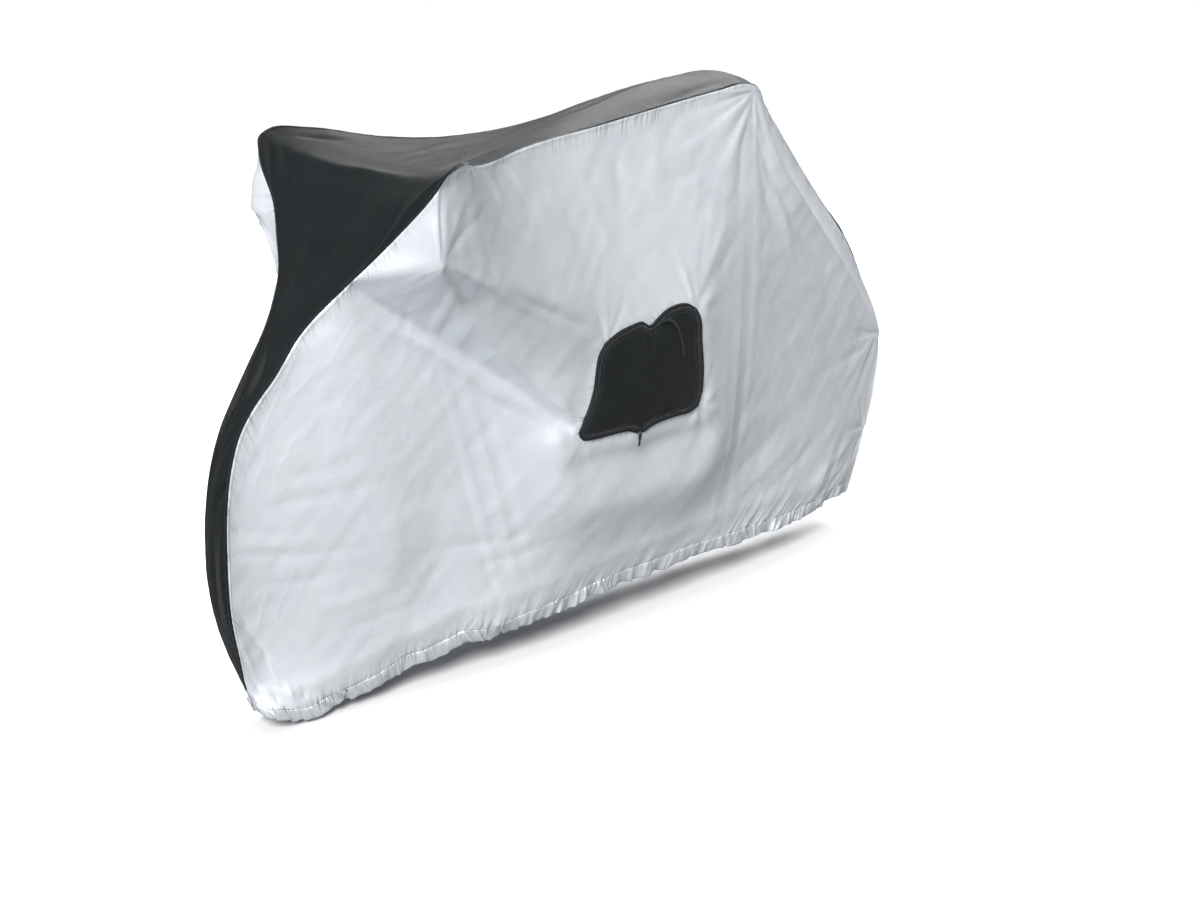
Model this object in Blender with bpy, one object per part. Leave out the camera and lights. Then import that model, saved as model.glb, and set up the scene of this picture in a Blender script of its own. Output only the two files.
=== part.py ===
"""Fitted bicycle cover, cut as a black centre band and two silver side panels.

Axes: -X is the front wheel end, +X the rear wheel end, -Y the near side with
the pocket, +Z up.  The tables below give the cover in side view, measured
from the ground under the middle of the wheelbase; ORIGIN moves the finished
cover so that the underside of its top, where it rests, becomes the origin.
All sizes are in metres.
"""
import math

import bmesh
import bpy
import numpy as np
from mathutils import Vector
from mathutils.bvhtree import BVHTree

# ------------------------------------------------------------------ sizes
ORIGIN = (0.200, 0.0, 1.006)   # underside of the top over the saddle
CLOTH = 0.002                  # thickness of every cloth solid
SEAM_GAP = 0.00042             # each cloth stops this far short of the seam
HEM_DEPTH = 0.028              # from the stitch line to the edge
HEM_FULL = 0.0006              # extra thickness of the folded hem
MITRE_REACH = 0.004            # how far from a seam its mitre shapes the cloth
TURN_LENGTH = 0.045            # metres of seam that one radian of bend is worth
END_CROWD = 2.5                # stations stand this much closer at the two ends

STATIONS = 60                  # cells along the seams
BAND_CELLS = 8                 # cells across the centre band
NEAR_CELLS = 18                # cells down the near panel
FAR_CELLS = 7                  # cells down the far panel
FINER = 4                      # the cloth is pulled tight on a grid this much finer
CROWD = 1.25                   # rows crowd towards the seam by this power

# One row per section of the centre band, from the front hem over the top to
# the rear hem.  x, z: the near seam in side view; near, far: how far the two
# seams stand out; drop: how much lower the far seam runs; cx, cz: the middle
# of the band in side view.
BAND_COLUMNS = ("x", "z", "near", "far", "drop", "cx", "cz")
BAND_ROWS = (
    (-0.803, 0.072, -0.002, 0.002, 0.000, -0.804, 0.072),
    (-0.822, 0.140, -0.019, 0.019, 0.000, -0.825, 0.140),
    (-0.839, 0.220, -0.029, 0.029, 0.000, -0.843, 0.220),
    (-0.843, 0.328, -0.034, 0.034, 0.000, -0.848, 0.330),
    (-0.837, 0.405, -0.032, 0.033, 0.000, -0.841, 0.408),
    (-0.823, 0.476, -0.030, 0.031, 0.000, -0.826, 0.480),
    (-0.801, 0.534, -0.030, 0.030, 0.000, -0.801, 0.536),
    (-0.773, 0.576, -0.034, 0.034, 0.000, -0.770, 0.575),
    (-0.743, 0.613, -0.042, 0.042, 0.000, -0.740, 0.610),
    (-0.693, 0.681, -0.051, 0.051, 0.000, -0.695, 0.679),
    (-0.635, 0.757, -0.097, 0.094, 0.000, -0.645, 0.748),
    (-0.612, 0.799, -0.136, 0.130, 0.000, -0.612, 0.792),
    (-0.586, 0.851, -0.183, 0.175, 0.000, -0.580, 0.842),
    (-0.562, 0.923, -0.249, 0.249, 0.000, -0.537, 0.900),
    (-0.549, 0.950, -0.263, 0.266, 0.000, -0.508, 0.916),
    (-0.526, 0.961, -0.266, 0.266, -0.001, -0.470, 0.920),
    (-0.473, 0.952, -0.236, 0.234, -0.010, -0.410, 0.922),
    (-0.370, 0.944, -0.170, 0.168, 0.001, -0.330, 0.927),
    (-0.285, 0.944, -0.120, 0.115, 0.006, -0.262, 0.934),
    (-0.200, 0.947, -0.090, 0.088, 0.006, -0.192, 0.944),
    (-0.061, 0.957, -0.075, 0.074, 0.002, -0.060, 0.973),
    (0.037, 0.969, -0.075, 0.074, -0.004, 0.037, 0.989),
    (0.138, 0.981, -0.075, 0.075, -0.006, 0.138, 1.004),
    (0.237, 0.993, -0.080, 0.080, -0.003, 0.240, 1.013),
    (0.306, 0.999, -0.081, 0.080, 0.000, 0.314, 1.015),
    (0.337, 0.991, -0.078, 0.079, 0.000, 0.351, 1.002),
    (0.380, 0.945, -0.067, 0.072, 0.000, 0.392, 0.952),
    (0.455, 0.873, -0.050, 0.060, 0.000, 0.463, 0.875),
    (0.600, 0.733, -0.021, 0.056, 0.000, 0.608, 0.738),
    (0.690, 0.638, -0.015, 0.050, 0.000, 0.705, 0.651),
    (0.761, 0.548, -0.001, 0.056, 0.000, 0.769, 0.548),
    (0.833, 0.413, 0.002, 0.060, 0.000, 0.838, 0.410),
    (0.836, 0.385, 0.002, 0.060, 0.000, 0.841, 0.384),
    (0.820, 0.258, 0.001, 0.060, 0.000, 0.824, 0.258),
    (0.792, 0.172, 0.001, 0.058, 0.000, 0.795, 0.172),
    (0.744, 0.066, -0.002, 0.050, 0.000, 0.746, 0.066),
)

# Lower edge of the near panel: one row per low or high point of the hem.
# seam is the place on the band table that the cloth of this row hangs from.
HEM_COLUMNS = ("x", "z", "y", "seam")
HEM_ROWS = (
    (-0.788, 0.028, -0.0003, 0.0),
    (-0.787, 0.028, -0.030, 0.20),
    (-0.770, 0.020, -0.045, 0.45),
    (-0.727, 0.010, -0.050, 0.80),
    (-0.691, 0.003, -0.052, 1.1),
    (-0.660, 0.012, -0.055, 1.5),
    (-0.594, 0.022, -0.060, 2.6),
    (-0.545, 0.028, -0.062, 3.6),
    (-0.493, 0.044, -0.065, 5.0),
    (-0.451, 0.044, -0.070, 6.4),
    (-0.381, 0.059, -0.080, 9.6),
    (-0.334, 0.049, -0.083, 12.0),
    (-0.248, 0.060, -0.090, 15.0),
    (-0.149, 0.062, -0.092, 17.6),
    (-0.032, 0.073, -0.092, 19.9),
    (0.060, 0.073, -0.090, 21.2),
    (0.178, 0.075, -0.085, 23.0),
    (0.310, 0.069, -0.078, 26.0),
    (0.473, 0.062, -0.063, 29.4),
    (0.600, 0.066, -0.045, 32.0),
    (0.688, 0.072, -0.024, 33.9),
    (0.736, 0.064, -0.003, 34.8),
)

# Places where the near panel is held out from inside or pulled tight between
# two such places.  Each row is one straight line of cloth in side view; reach
# is half the width of the cloth that follows it.
LINE_COLUMNS = ("x0", "z0", "y0", "x1", "z1", "y1", "grip", "reach")
NEAR_LINES = (
    (-0.556, 0.925, -0.252, -0.558, 0.811, -0.243, 1.0, 0.008),  # bar end, upright
    (-0.616, 0.782, -0.132, -0.558, 0.811, -0.243, 1.0, 0.008),  # bright facet, foot
    (-0.558, 0.811, -0.243, -0.125, 0.590, -0.160, 1.0, 0.010),  # ridge to the pocket
    (-0.650, 0.728, -0.085, -0.387, 0.617, -0.122, 0.8, 0.012),  # trough, upper half
    (-0.387, 0.617, -0.122, -0.190, 0.450, -0.160, 0.8, 0.012),  # trough, lower half
    (-0.125, 0.586, -0.160, 0.115, 0.614, -0.152, 0.8, 0.014),   # pocket, top
    (0.115, 0.614, -0.152, 0.130, 0.414, -0.154, 0.8, 0.014),    # pocket, rear
    (0.130, 0.414, -0.154, -0.190, 0.423, -0.172, 0.8, 0.014),   # pocket, foot
    (-0.190, 0.423, -0.172, -0.125, 0.590, -0.160, 0.8, 0.014),  # pocket, front
    (0.306, 0.985, -0.083, 0.235, 0.800, -0.104, 0.5, 0.016),    # fall from the saddle
    (0.235, 0.800, -0.104, 0.115, 0.614, -0.152, 0.5, 0.016),
    (0.318, 0.985, -0.082, 0.430, 0.821, -0.088, 1.0, 0.010),    # rear ridge
    (0.430, 0.821, -0.088, 0.575, 0.667, -0.056, 1.0, 0.010),
    (0.575, 0.667, -0.056, 0.828, 0.412, -0.006, 1.0, 0.008),
    (-0.493, 0.330, -0.078, -0.493, 0.200, -0.068, 0.3, 0.030),  # front wheel side
)
FAR_LINES = (
    (-0.556, 0.925, 0.256, -0.572, 0.835, 0.252, 1.0, 0.016),    # bar end, upright
    (-0.630, 0.760, 0.110, -0.572, 0.835, 0.252, 1.0, 0.010),
    (-0.572, 0.835, 0.252, 0.140, 0.300, 0.168, 0.8, 0.020),     # ridge to the pedal
    (-0.650, 0.728, 0.083, -0.200, 0.380, 0.120, 0.6, 0.020),    # trough below it
    (0.140, 0.300, 0.168, 0.160, 0.260, 0.168, 1.0, 0.020),      # pedal
    (0.318, 0.985, 0.081, 0.470, 0.760, 0.092, 0.8, 0.016),      # rear ridge
    (0.470, 0.760, 0.092, 0.828, 0.412, 0.062, 0.8, 0.016),
)
FAR_HEM_SHIFT = 0.010          # the far hem hangs this much lower amidships
FAR_REAR_HEM = 0.052           # how far out the far hem ends at the rear
FAR_TOE_IN = 0.012             # the far hem's front corner tucks back this much
GRIP_PULL = 60.0               # how firmly a line holds, against the cloth's own pull

# Soft waves: crest line start and end in side view, height, half width.
WAVE_COLUMNS = ("x0", "z0", "x1", "z1", "height", "half")
NEAR_WAVES = (
    (-0.430, 0.880, -0.520, 0.830, 0.006, 0.020),
    (-0.250, 0.900, -0.330, 0.760, 0.005, 0.030),
    (-0.100, 0.930, -0.180, 0.720, 0.004, 0.035),
    (0.450, 0.800, 0.600, 0.450, -0.008, 0.045),
    (0.300, 0.900, 0.380, 0.500, 0.007, 0.050),
    (-0.780, 0.330, -0.500, 0.360, 0.004, 0.025),
    (-0.760, 0.240, -0.420, 0.250, -0.004, 0.025),
    (-0.700, 0.140, -0.350, 0.150, 0.004, 0.022),
    (0.820, 0.400, 0.680, 0.360, -0.005, 0.014),
    (0.800, 0.330, 0.650, 0.220, 0.005, 0.018),
)

# Pocket on the near panel, in side view: the four edges, corner to corner.
POUCH_TOP = ((-0.128, 0.588), (-0.098, 0.602), (-0.063, 0.609), (-0.031, 0.611),
             (-0.012, 0.601), (0.003, 0.609), (0.024, 0.620), (0.056, 0.627),
             (0.086, 0.625), (0.110, 0.612))
POUCH_REAR = ((0.110, 0.612), (0.121, 0.594), (0.125, 0.550), (0.130, 0.480),
              (0.127, 0.450), (0.112, 0.422))
POUCH_FOOT = ((-0.190, 0.421), (-0.162, 0.414), (-0.110, 0.414), (-0.074, 0.413),
              (-0.043, 0.404), (-0.016, 0.411), (0.049, 0.415), (0.090, 0.415),
              (0.112, 0.422))
POUCH_FRONT = ((-0.128, 0.588), (-0.141, 0.570), (-0.148, 0.545), (-0.154, 0.508),
               (-0.168, 0.472), (-0.184, 0.446), (-0.190, 0.421))
POUCH_CELLS = (12, 7)
POUCH_CLEAR = 0.0009           # air between the panel and the pocket's back
POUCH_SWELL = 0.0040           # how much the empty pocket stands off amidships
ZIP_INSET = 0.0090             # zip centre line, in from the pocket's edge
ZIP_WIDE = 0.0075
ZIP_THICK = 0.0016
ZIP_CELLS = 44
STRAP_LINE = ((-0.004, 0.594), (0.008, 0.605), (0.026, 0.606), (0.044, 0.595),
              (0.056, 0.577), (0.064, 0.553), (0.071, 0.523))
STRAP_WIDE = 0.0055
STRAP_THICK = 0.0014
STRAP_CELLS = 9
STRAP_HOP = 0.0042             # the strap's upper end rises this much over the zip
SLIDER_AT = (-0.047, 0.4145)
SLIDER_SIZE = (0.0085, 0.0042, 0.0110)
PULL_SIZE = (0.0085, 0.0024, 0.0270)
PULL_LEAN = 0.004              # the pull's foot hangs this much nearer the panel
PIECE_GAP = 0.0004

MATERIALS = {
    "nylon_black": ((0.045, 0.052, 0.056, 1.0), 0.55, 0.0),
    "taffeta_silver": ((0.62, 0.64, 0.66, 1.0), 0.38, 0.25),
    "pocket_black": ((0.020, 0.022, 0.023, 1.0), 0.75, 0.0),
    "zip_black": ((0.015, 0.016, 0.017, 1.0), 0.60, 0.0),
    "webbing_black": ((0.028, 0.030, 0.031, 1.0), 0.80, 0.0),
    "slider_metal": ((0.10, 0.10, 0.11, 1.0), 0.40, 0.8),
    "pull_rubber": ((0.035, 0.036, 0.038, 1.0), 0.55, 0.0),
}


# ------------------------------------------------------------ small helpers
def column(rows, names, name):
    return np.array([row[names.index(name)] for row in rows])


def curve(knots, values, at):
    """Smooth curve through table rows: cubic pieces, slopes from neighbours."""
    knots = np.asarray(knots, float)
    values = np.asarray(values, float)
    at = np.clip(at, knots[0], knots[-1])
    step = np.diff(knots)
    rise = np.diff(values) / step
    slope = np.empty(len(knots))
    slope[1:-1] = (rise[:-1] * step[1:] + rise[1:] * step[:-1]) / (step[1:] + step[:-1])
    slope[0] = rise[0]
    slope[-1] = rise[-1]
    k = np.clip(np.searchsorted(knots, at, side="right") - 1, 0, len(step) - 1)
    t = (at - knots[k]) / step[k]
    h = step[k]
    a = (1 + 2 * t) * (1 - t) ** 2 * values[k] + t * (1 - t) ** 2 * h * slope[k]
    b = t * t * (3 - 2 * t) * values[k + 1] + t * t * (t - 1) * h * slope[k + 1]
    return a + b


def unit(v):
    return v / np.maximum(np.linalg.norm(v, axis=-1, keepdims=True), 1e-12)


def grid_normals(p):
    """Unit normals of a grid of points, from the differences along both ways."""
    du = np.gradient(p, axis=0)
    dv = np.gradient(p, axis=1)
    return unit(np.cross(du, dv))


# ------------------------------------------------------------ seams and hem
def band_knots():
    x = column(BAND_ROWS, BAND_COLUMNS, "x")
    z = column(BAND_ROWS, BAND_COLUMNS, "z")
    y = column(BAND_ROWS, BAND_COLUMNS, "near")
    steps = np.sqrt(np.diff(x) ** 2 + np.diff(y) ** 2 + np.diff(z) ** 2)
    return np.concatenate(([0.0], np.cumsum(steps)))


def band_curve(name, at):
    return curve(band_knots(), column(BAND_ROWS, BAND_COLUMNS, name), at)


def stations(count):
    """Places along the seam, closer together where it bends."""
    fine = np.linspace(0.0, band_knots()[-1], 4001)
    line = np.stack([band_curve(n, fine) for n in ("x", "near", "z")], axis=1)
    way = unit(np.diff(line, axis=0))
    bend = np.arccos(np.clip(np.sum(way[1:] * way[:-1], axis=1), -1, 1))
    ends = np.minimum(fine[:-1], fine[-1] - fine[:-1])
    work = np.diff(fine) * (1 + END_CROWD * np.exp(-(ends / 0.09) ** 2))
    work[1:] = work[1:] + TURN_LENGTH * bend
    total = np.concatenate(([0.0], np.cumsum(work)))
    return np.interp(np.linspace(0, total[-1], count + 1), total, fine)


def seam_points(at, side):
    z = band_curve("z", at)
    if side == "far":
        z = z - band_curve("drop", at)
    return np.stack([band_curve("x", at), band_curve(side, at), z], axis=1)


def hem_points(at, far):
    """Edge of a side panel under each station of the seam."""
    knots = band_knots()
    rows = np.interp(at, knots, np.arange(len(knots)))
    place = column(HEM_ROWS, HEM_COLUMNS, "seam")
    x = np.interp(rows, place, column(HEM_ROWS, HEM_COLUMNS, "x"))
    z = np.interp(rows, place, column(HEM_ROWS, HEM_COLUMNS, "z"))
    y = np.interp(rows, place, column(HEM_ROWS, HEM_COLUMNS, "y"))
    if far:
        share = np.clip((x + 0.788) / 1.524, 0, 1)
        lift = np.sin(math.pi * share)
        z = z - FAR_HEM_SHIFT * lift + 0.004 * np.sin(9.0 * x + 1.0) * lift
        y = -y + FAR_REAR_HEM * np.clip((x - 0.35) / 0.386, 0, 1) ** 2
        x = x + FAR_TOE_IN * np.sin(math.pi * np.clip(rows / 0.9, 0, 1))
    return np.stack([x, y, z], axis=1)


# ------------------------------------------------------------ cloth surfaces
def band_surface(at, cells):
    """Centre band: chord from seam to seam, lifted to the middle line."""
    near = seam_points(at, "near")
    far = seam_points(at, "far")
    middle = np.stack([band_curve("cx", at), 0.5 * (near[:, 1] + far[:, 1]),
                       band_curve("cz", at)], axis=1)
    s = np.linspace(-1, 1, cells + 1)[None, :, None]
    chord = near[:, None] * (1 - s) / 2 + far[:, None] * (1 + s) / 2
    return chord + (middle - 0.5 * (near + far))[:, None] * (1 - s * s)


def down_shares(length, cells):
    """Row places down each column: even cells, then the hem as the last two."""
    hem = np.minimum(HEM_DEPTH, 0.45 * length)
    rows = np.empty((len(length), cells + 1))
    body = np.linspace(0, 1, cells - 1) ** CROWD
    rows[:, :cells - 1] = body[None] * (1 - hem / length)[:, None]
    rows[:, cells - 1] = 1 - 0.45 * hem / length
    rows[:, cells] = 1.0
    return rows


def line_pull(x, z, lines):
    """Weight and height with which the tight lines hold each point."""
    weight = np.zeros_like(x)
    height = np.zeros_like(x)
    for row in lines:
        line = dict(zip(LINE_COLUMNS, row))
        dx = line["x1"] - line["x0"]
        dz = line["z1"] - line["z0"]
        t = ((x - line["x0"]) * dx + (z - line["z0"]) * dz) / (dx * dx + dz * dz)
        t = np.clip(t, 0, 1)
        off = np.hypot(x - line["x0"] - t * dx, z - line["z0"] - t * dz)
        hold = line["grip"] * GRIP_PULL * np.exp(-(off / line["reach"]) ** 2)
        weight += hold
        height += hold * (line["y0"] + t * (line["y1"] - line["y0"]))
    return weight, height


def relax(x, z, y, lines, rounds):
    """Pull the cloth tight: each point goes to the mean of its neighbours,
    weighted by nearness, while the seam, hem and tight lines stay put."""
    weight, height = line_pull(x, z, lines)

    def near_weight(d):
        return 1.0 / np.maximum(d, 1e-5) ** 2

    wu = near_weight(np.sqrt(np.diff(x, axis=0) ** 2 + np.diff(z, axis=0) ** 2))
    wv = near_weight(np.sqrt(np.diff(x, axis=1) ** 2 + np.diff(z, axis=1) ** 2))
    scale = 1.0 / 0.03 ** 2
    weight = weight[1:-1, 1:-1] * scale
    height = height[1:-1, 1:-1] * scale
    a = wu[:-1, 1:-1]
    b = wu[1:, 1:-1]
    c = wv[1:-1, :-1]
    d = wv[1:-1, 1:]
    total = a + b + c + d + weight
    for _ in range(rounds):
        mean = a * y[:-2, 1:-1] + b * y[2:, 1:-1] + c * y[1:-1, :-2] + d * y[1:-1, 2:]
        y[1:-1, 1:-1] = (mean + height) / total
    return y


def add_waves(x, z, waves):
    """Sum of soft crests, each fading in and out along its own length."""
    out = np.zeros_like(x)
    for row in waves:
        wave = dict(zip(WAVE_COLUMNS, row))
        dx = wave["x1"] - wave["x0"]
        dz = wave["z1"] - wave["z0"]
        t = ((x - wave["x0"]) * dx + (z - wave["z0"]) * dz) / (dx * dx + dz * dz)
        off = ((x - wave["x0"]) * dz - (z - wave["z0"]) * dx) / math.hypot(dx, dz)
        along = np.clip(t, 0, 1) * np.clip(1 - t, 0, 1) * 4
        out += wave["height"] * along * np.exp(-(off / wave["half"]) ** 2)
    return out


def side_panel(at, cells, far):
    """Side panel: columns hang from the seam to the hem in side view, and
    how far each point stands out comes from pulling the cloth tight."""
    side = 1.0 if far else -1.0
    lines = FAR_LINES if far else NEAR_LINES

    def layout(at, cells):
        seam = seam_points(at, "far" if far else "near")
        hem = hem_points(at, far)
        length = np.linalg.norm((hem - seam)[:, [0, 2]], axis=1)
        share = down_shares(length, cells)
        grid = seam[:, None] + (hem - seam)[:, None] * share[..., None]
        return grid, hem

    def stretched(y, shape):
        rows = np.linspace(0, 1, shape[0])
        cols = np.linspace(0, 1, shape[1])
        old = np.linspace(0, 1, y.shape[0])
        wide = np.stack([np.interp(rows, old, y[:, k]) for k in range(y.shape[1])], axis=1)
        old = np.linspace(0, 1, y.shape[1])
        return np.stack([np.interp(cols, old, line) for line in wide], axis=0)

    y = None
    for finer, rounds in ((1, 2500), (2, 1500), (FINER, 1500)):
        fine_at = np.interp(np.linspace(0, len(at) - 1, (len(at) - 1) * finer + 1),
                            np.arange(len(at)), at)
        grid, hem = layout(fine_at, cells * finer)
        if y is not None:
            lift = stretched(y - flat, grid.shape[:2])
            lift[[0, -1]] = 0
            lift[:, [0, -1]] = 0
        else:
            lift = 0.0
        flat = grid[..., 1].copy()
        y = relax(grid[..., 0], grid[..., 2], flat + lift, lines, rounds)
    tight = y
    fine_share = down_shares(np.linalg.norm((hem - grid[:, 0])[:, [0, 2]], axis=1),
                             cells * FINER)
    grid, hem = layout(at, cells)
    share = down_shares(np.linalg.norm((hem - grid[:, 0])[:, [0, 2]], axis=1), cells)
    y = np.stack([np.interp(share[k], fine_share[k * FINER], tight[k * FINER])
                  for k in range(len(at))])
    half = FINER // 2
    middles = np.stack([np.interp(0.25 * (share[k, :-1] + share[k, 1:]
                                          + share[k + 1, :-1] + share[k + 1, 1:]),
                                  fine_share[k * FINER + half], tight[k * FINER + half])
                        for k in range(len(at) - 1)])
    other_way = better_diagonal(np.stack([grid[..., 0], y, grid[..., 2]], axis=2), middles)
    x = grid[..., 0]
    z = grid[..., 2]
    inside = 1 - np.abs(np.linspace(-1, 1, y.shape[1])) ** 6
    if not far:
        y = y - add_waves(x, z, NEAR_WAVES) * inside[None]
    way = np.concatenate(([0.0], np.cumsum(np.linalg.norm(np.diff(hem, axis=0), axis=1))))
    ends = np.clip(np.minimum(way, way[-1] - way) / 0.20, 0, 1)
    gather = np.sin(way * 75.0) * 0.6 + np.sin(way * 121.0 + 1.3) * 0.4
    y[:, -1] += side * 0.0035 * gather * ends
    y[:, -2] += side * 0.0022 * gather * ends
    y[:, -3] -= side * 0.0015 * ends
    return np.stack([x, y, z], axis=2), other_way


# ------------------------------------------------------------ solids
def shell_mesh(outer, inner, other_way=None):
    """Closed solid of triangles between two grids with the same layout.

    other_way marks the cells that are split along their second diagonal."""
    n, m = outer.shape[:2]
    verts = np.concatenate([outer.reshape(-1, 3), inner.reshape(-1, 3)])
    index = np.arange(n * m).reshape(n, m)
    back = index + n * m
    if other_way is None:
        other_way = np.zeros((n - 1, m - 1), bool)
    a = index[:-1, :-1].ravel()
    b = index[1:, :-1].ravel()
    c = index[1:, 1:].ravel()
    d = index[:-1, 1:].ravel()
    flip = other_way.ravel()[:, None]
    first = np.where(flip, np.stack([a, b, d], axis=1), np.stack([a, b, c], axis=1))
    second = np.where(flip, np.stack([b, c, d], axis=1), np.stack([a, c, d], axis=1))
    faces = [first, second, first[:, ::-1] + n * m, second[:, ::-1] + n * m]
    for line, under in ((index[0, :], back[0, :]), (index[-1, ::-1], back[-1, ::-1]),
                        (index[::-1, 0], back[::-1, 0]), (index[:, -1], back[:, -1])):
        faces.append(np.stack([line[:-1], line[1:], under[1:]], axis=1))
        faces.append(np.stack([line[:-1], under[1:], under[:-1]], axis=1))
    return verts, np.concatenate(faces)


def better_diagonal(grid, middles):
    """Cells whose second diagonal passes nearer to the cell's true middle."""
    one = 0.5 * (grid[:-1, :-1] + grid[1:, 1:])
    two = 0.5 * (grid[1:, :-1] + grid[:-1, 1:])
    return np.abs(two[..., 1] - middles) < np.abs(one[..., 1] - middles)


def make_object(name, verts, faces, material):
    mesh = bpy.data.meshes.new(name)
    placed = np.asarray(verts, float) - np.array(ORIGIN)
    mesh.from_pydata(placed.tolist(), [], [list(map(int, f)) for f in faces])
    mesh.materials.append(material)
    bm = bmesh.new()
    bm.from_mesh(mesh)
    bmesh.ops.triangulate(bm, faces=list(bm.faces))
    bmesh.ops.recalc_face_normals(bm, faces=list(bm.faces))
    bm.to_mesh(mesh)
    bm.free()
    thing = bpy.data.objects.new(name, mesh)
    bpy.context.scene.collection.objects.link(thing)
    return thing


def make_material(name):
    colour, rough, metal = MATERIALS[name]
    material = bpy.data.materials.new(name)
    material.use_nodes = True
    shader = material.node_tree.nodes["Principled BSDF"]
    shader.inputs["Base Color"].default_value = colour
    shader.inputs["Roughness"].default_value = rough
    shader.inputs["Metallic"].default_value = metal
    material.diffuse_color = colour
    return material


def seam_gap(edge, inward):
    """Short step from a seam into the cloth, square to the seam."""
    along = unit(np.gradient(edge, axis=0))
    into = inward - edge
    into = into - along * np.sum(into * along, axis=1, keepdims=True)
    return unit(into) * SEAM_GAP


def near_seam_share(grid, edge):
    """1 on the seam, falling to 0 within a few millimetres of it."""
    off = np.linalg.norm(grid - edge[:, None], axis=2, keepdims=True)
    return np.exp(-(off / MITRE_REACH) ** 2)


def solid_sheets(at):
    """The band and both panels with shared, mitred seams."""
    band = band_surface(at, BAND_CELLS)
    near, near_way = side_panel(at, NEAR_CELLS, False)
    far, far_way = side_panel(at, FAR_CELLS, True)
    n_band = grid_normals(band)
    n_near = -grid_normals(near)
    n_far = grid_normals(far)
    if n_band[len(at) // 2, BAND_CELLS // 2, 2] < 0:
        n_band = -n_band
    if n_near[len(at) // 2, NEAR_CELLS // 2, 1] > 0:
        n_near = -n_near
    if n_far[len(at) // 2, FAR_CELLS // 2, 1] < 0:
        n_far = -n_far

    def mitre(a, b):
        both = unit(a + b)
        cosine = np.clip(np.sum(both * a, axis=-1, keepdims=True), 0.62, 1)
        return both / cosine

    near_seam = mitre(n_band[:, 0], n_near[:, 0]) * CLOTH
    far_seam = mitre(n_band[:, -1], n_far[:, 0]) * CLOTH

    def skin(grid, normal, seams):
        thick = normal * CLOTH
        for edge, vector in seams:
            share = near_seam_share(grid, edge)
            thick = thick * (1 - share) + vector[:, None] * share
        return thick

    thick_band = skin(band, n_band, ((band[:, 0], near_seam), (band[:, -1], far_seam)))
    thick_near = skin(near, n_near, ((near[:, 0], near_seam),))
    thick_far = skin(far, n_far, ((far[:, 0], far_seam),))
    thick_band[:, 0] = near_seam
    thick_band[:, -1] = far_seam
    thick_near[:, 0] = near_seam
    thick_far[:, 0] = far_seam
    thick_near[:, -2:] *= 1 + HEM_FULL / CLOTH
    thick_far[:, -2:] *= 1 + HEM_FULL / CLOTH
    near_gap = seam_gap(band[:, 0], band[:, 1])
    far_gap = seam_gap(band[:, -1], band[:, -2])
    pairs = ((band, band - thick_band, ((0, near_gap), (-1, far_gap))),
             (near, near - thick_near, ((0, seam_gap(near[:, 0], near[:, 1])),)),
             (far, far - thick_far, ((0, seam_gap(far[:, 0], far[:, 1])),)))
    sheets = []
    for outer, inner, moves in pairs:
        for edge, move in moves:
            outer[:, edge] += move
            inner[:, edge] += move
        sheets.append([outer, inner])
    for layer in sheets[1]:
        layer[0, :, 1] = np.minimum(layer[0, :, 1], -SEAM_GAP)
    for layer in sheets[2]:
        layer[0, :, 1] = np.maximum(layer[0, :, 1], SEAM_GAP)
    for sheet, way in zip(sheets, (None, near_way, far_way)):
        sheet.append(way)
    return sheets


# ------------------------------------------------------------ pocket parts
def resampled(points, count):
    points = np.asarray(points, float)
    knots = np.concatenate(([0.0], np.cumsum(np.linalg.norm(np.diff(points, axis=0), axis=1))))
    at = np.linspace(0, knots[-1], count + 1)
    return np.stack([curve(knots, points[:, k], at) for k in range(2)], axis=1)


def pouch_grid(cells):
    """Side-view points of the pocket, blended from its four edges."""
    top = resampled(POUCH_TOP, cells[0])
    foot = resampled(POUCH_FOOT, cells[0])
    front = resampled(POUCH_FRONT, cells[1])
    rear = resampled(POUCH_REAR, cells[1])
    u = np.linspace(0, 1, cells[0] + 1)[:, None, None]
    v = np.linspace(0, 1, cells[1] + 1)[None, :, None]
    sides = front[None] * (1 - u) + rear[None] * u
    ends = top[:, None] * (1 - v) + foot[:, None] * v
    corners = (top[0] * (1 - u) * (1 - v) + top[-1] * u * (1 - v)
               + foot[0] * (1 - u) * v + foot[-1] * u * v)
    return sides + ends - corners, (1 - (2 * u[..., 0] - 1) ** 6) * (1 - (2 * v[..., 0] - 1) ** 6)


def surface_finder(outer, other_way=None):
    """Height of a sheet's outer faces at a side-view point."""
    verts, faces = shell_mesh(outer, outer, other_way)
    count = 2 * (outer.shape[0] - 1) * (outer.shape[1] - 1)
    tree = BVHTree.FromPolygons([Vector(v) for v in verts],
                                [tuple(map(int, f)) for f in faces[:count]])

    def height(x, z):
        return tree.ray_cast(Vector((x, -1.0, z)), Vector((0.0, 1.0, 0.0)))[0].y

    return height


def lowest_around(height, x, z, reach):
    """Farthest out that the panel stands within a small square round a point."""
    return min(height(x + a, z + b) for a in (-reach, 0, reach) for b in (-reach, 0, reach))


def build_pouch(height):
    flat, swell = pouch_grid(POUCH_CELLS)
    rest = np.array([[lowest_around(height, x, z, 0.010) for x, z in row] for row in flat])
    back = np.stack([flat[..., 0], rest - POUCH_CLEAR - POUCH_SWELL * swell * 0.25,
                     flat[..., 1]], axis=2)
    front = back.copy()
    front[..., 1] -= CLOTH + POUCH_SWELL * swell * 0.75
    return front, back


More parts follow.
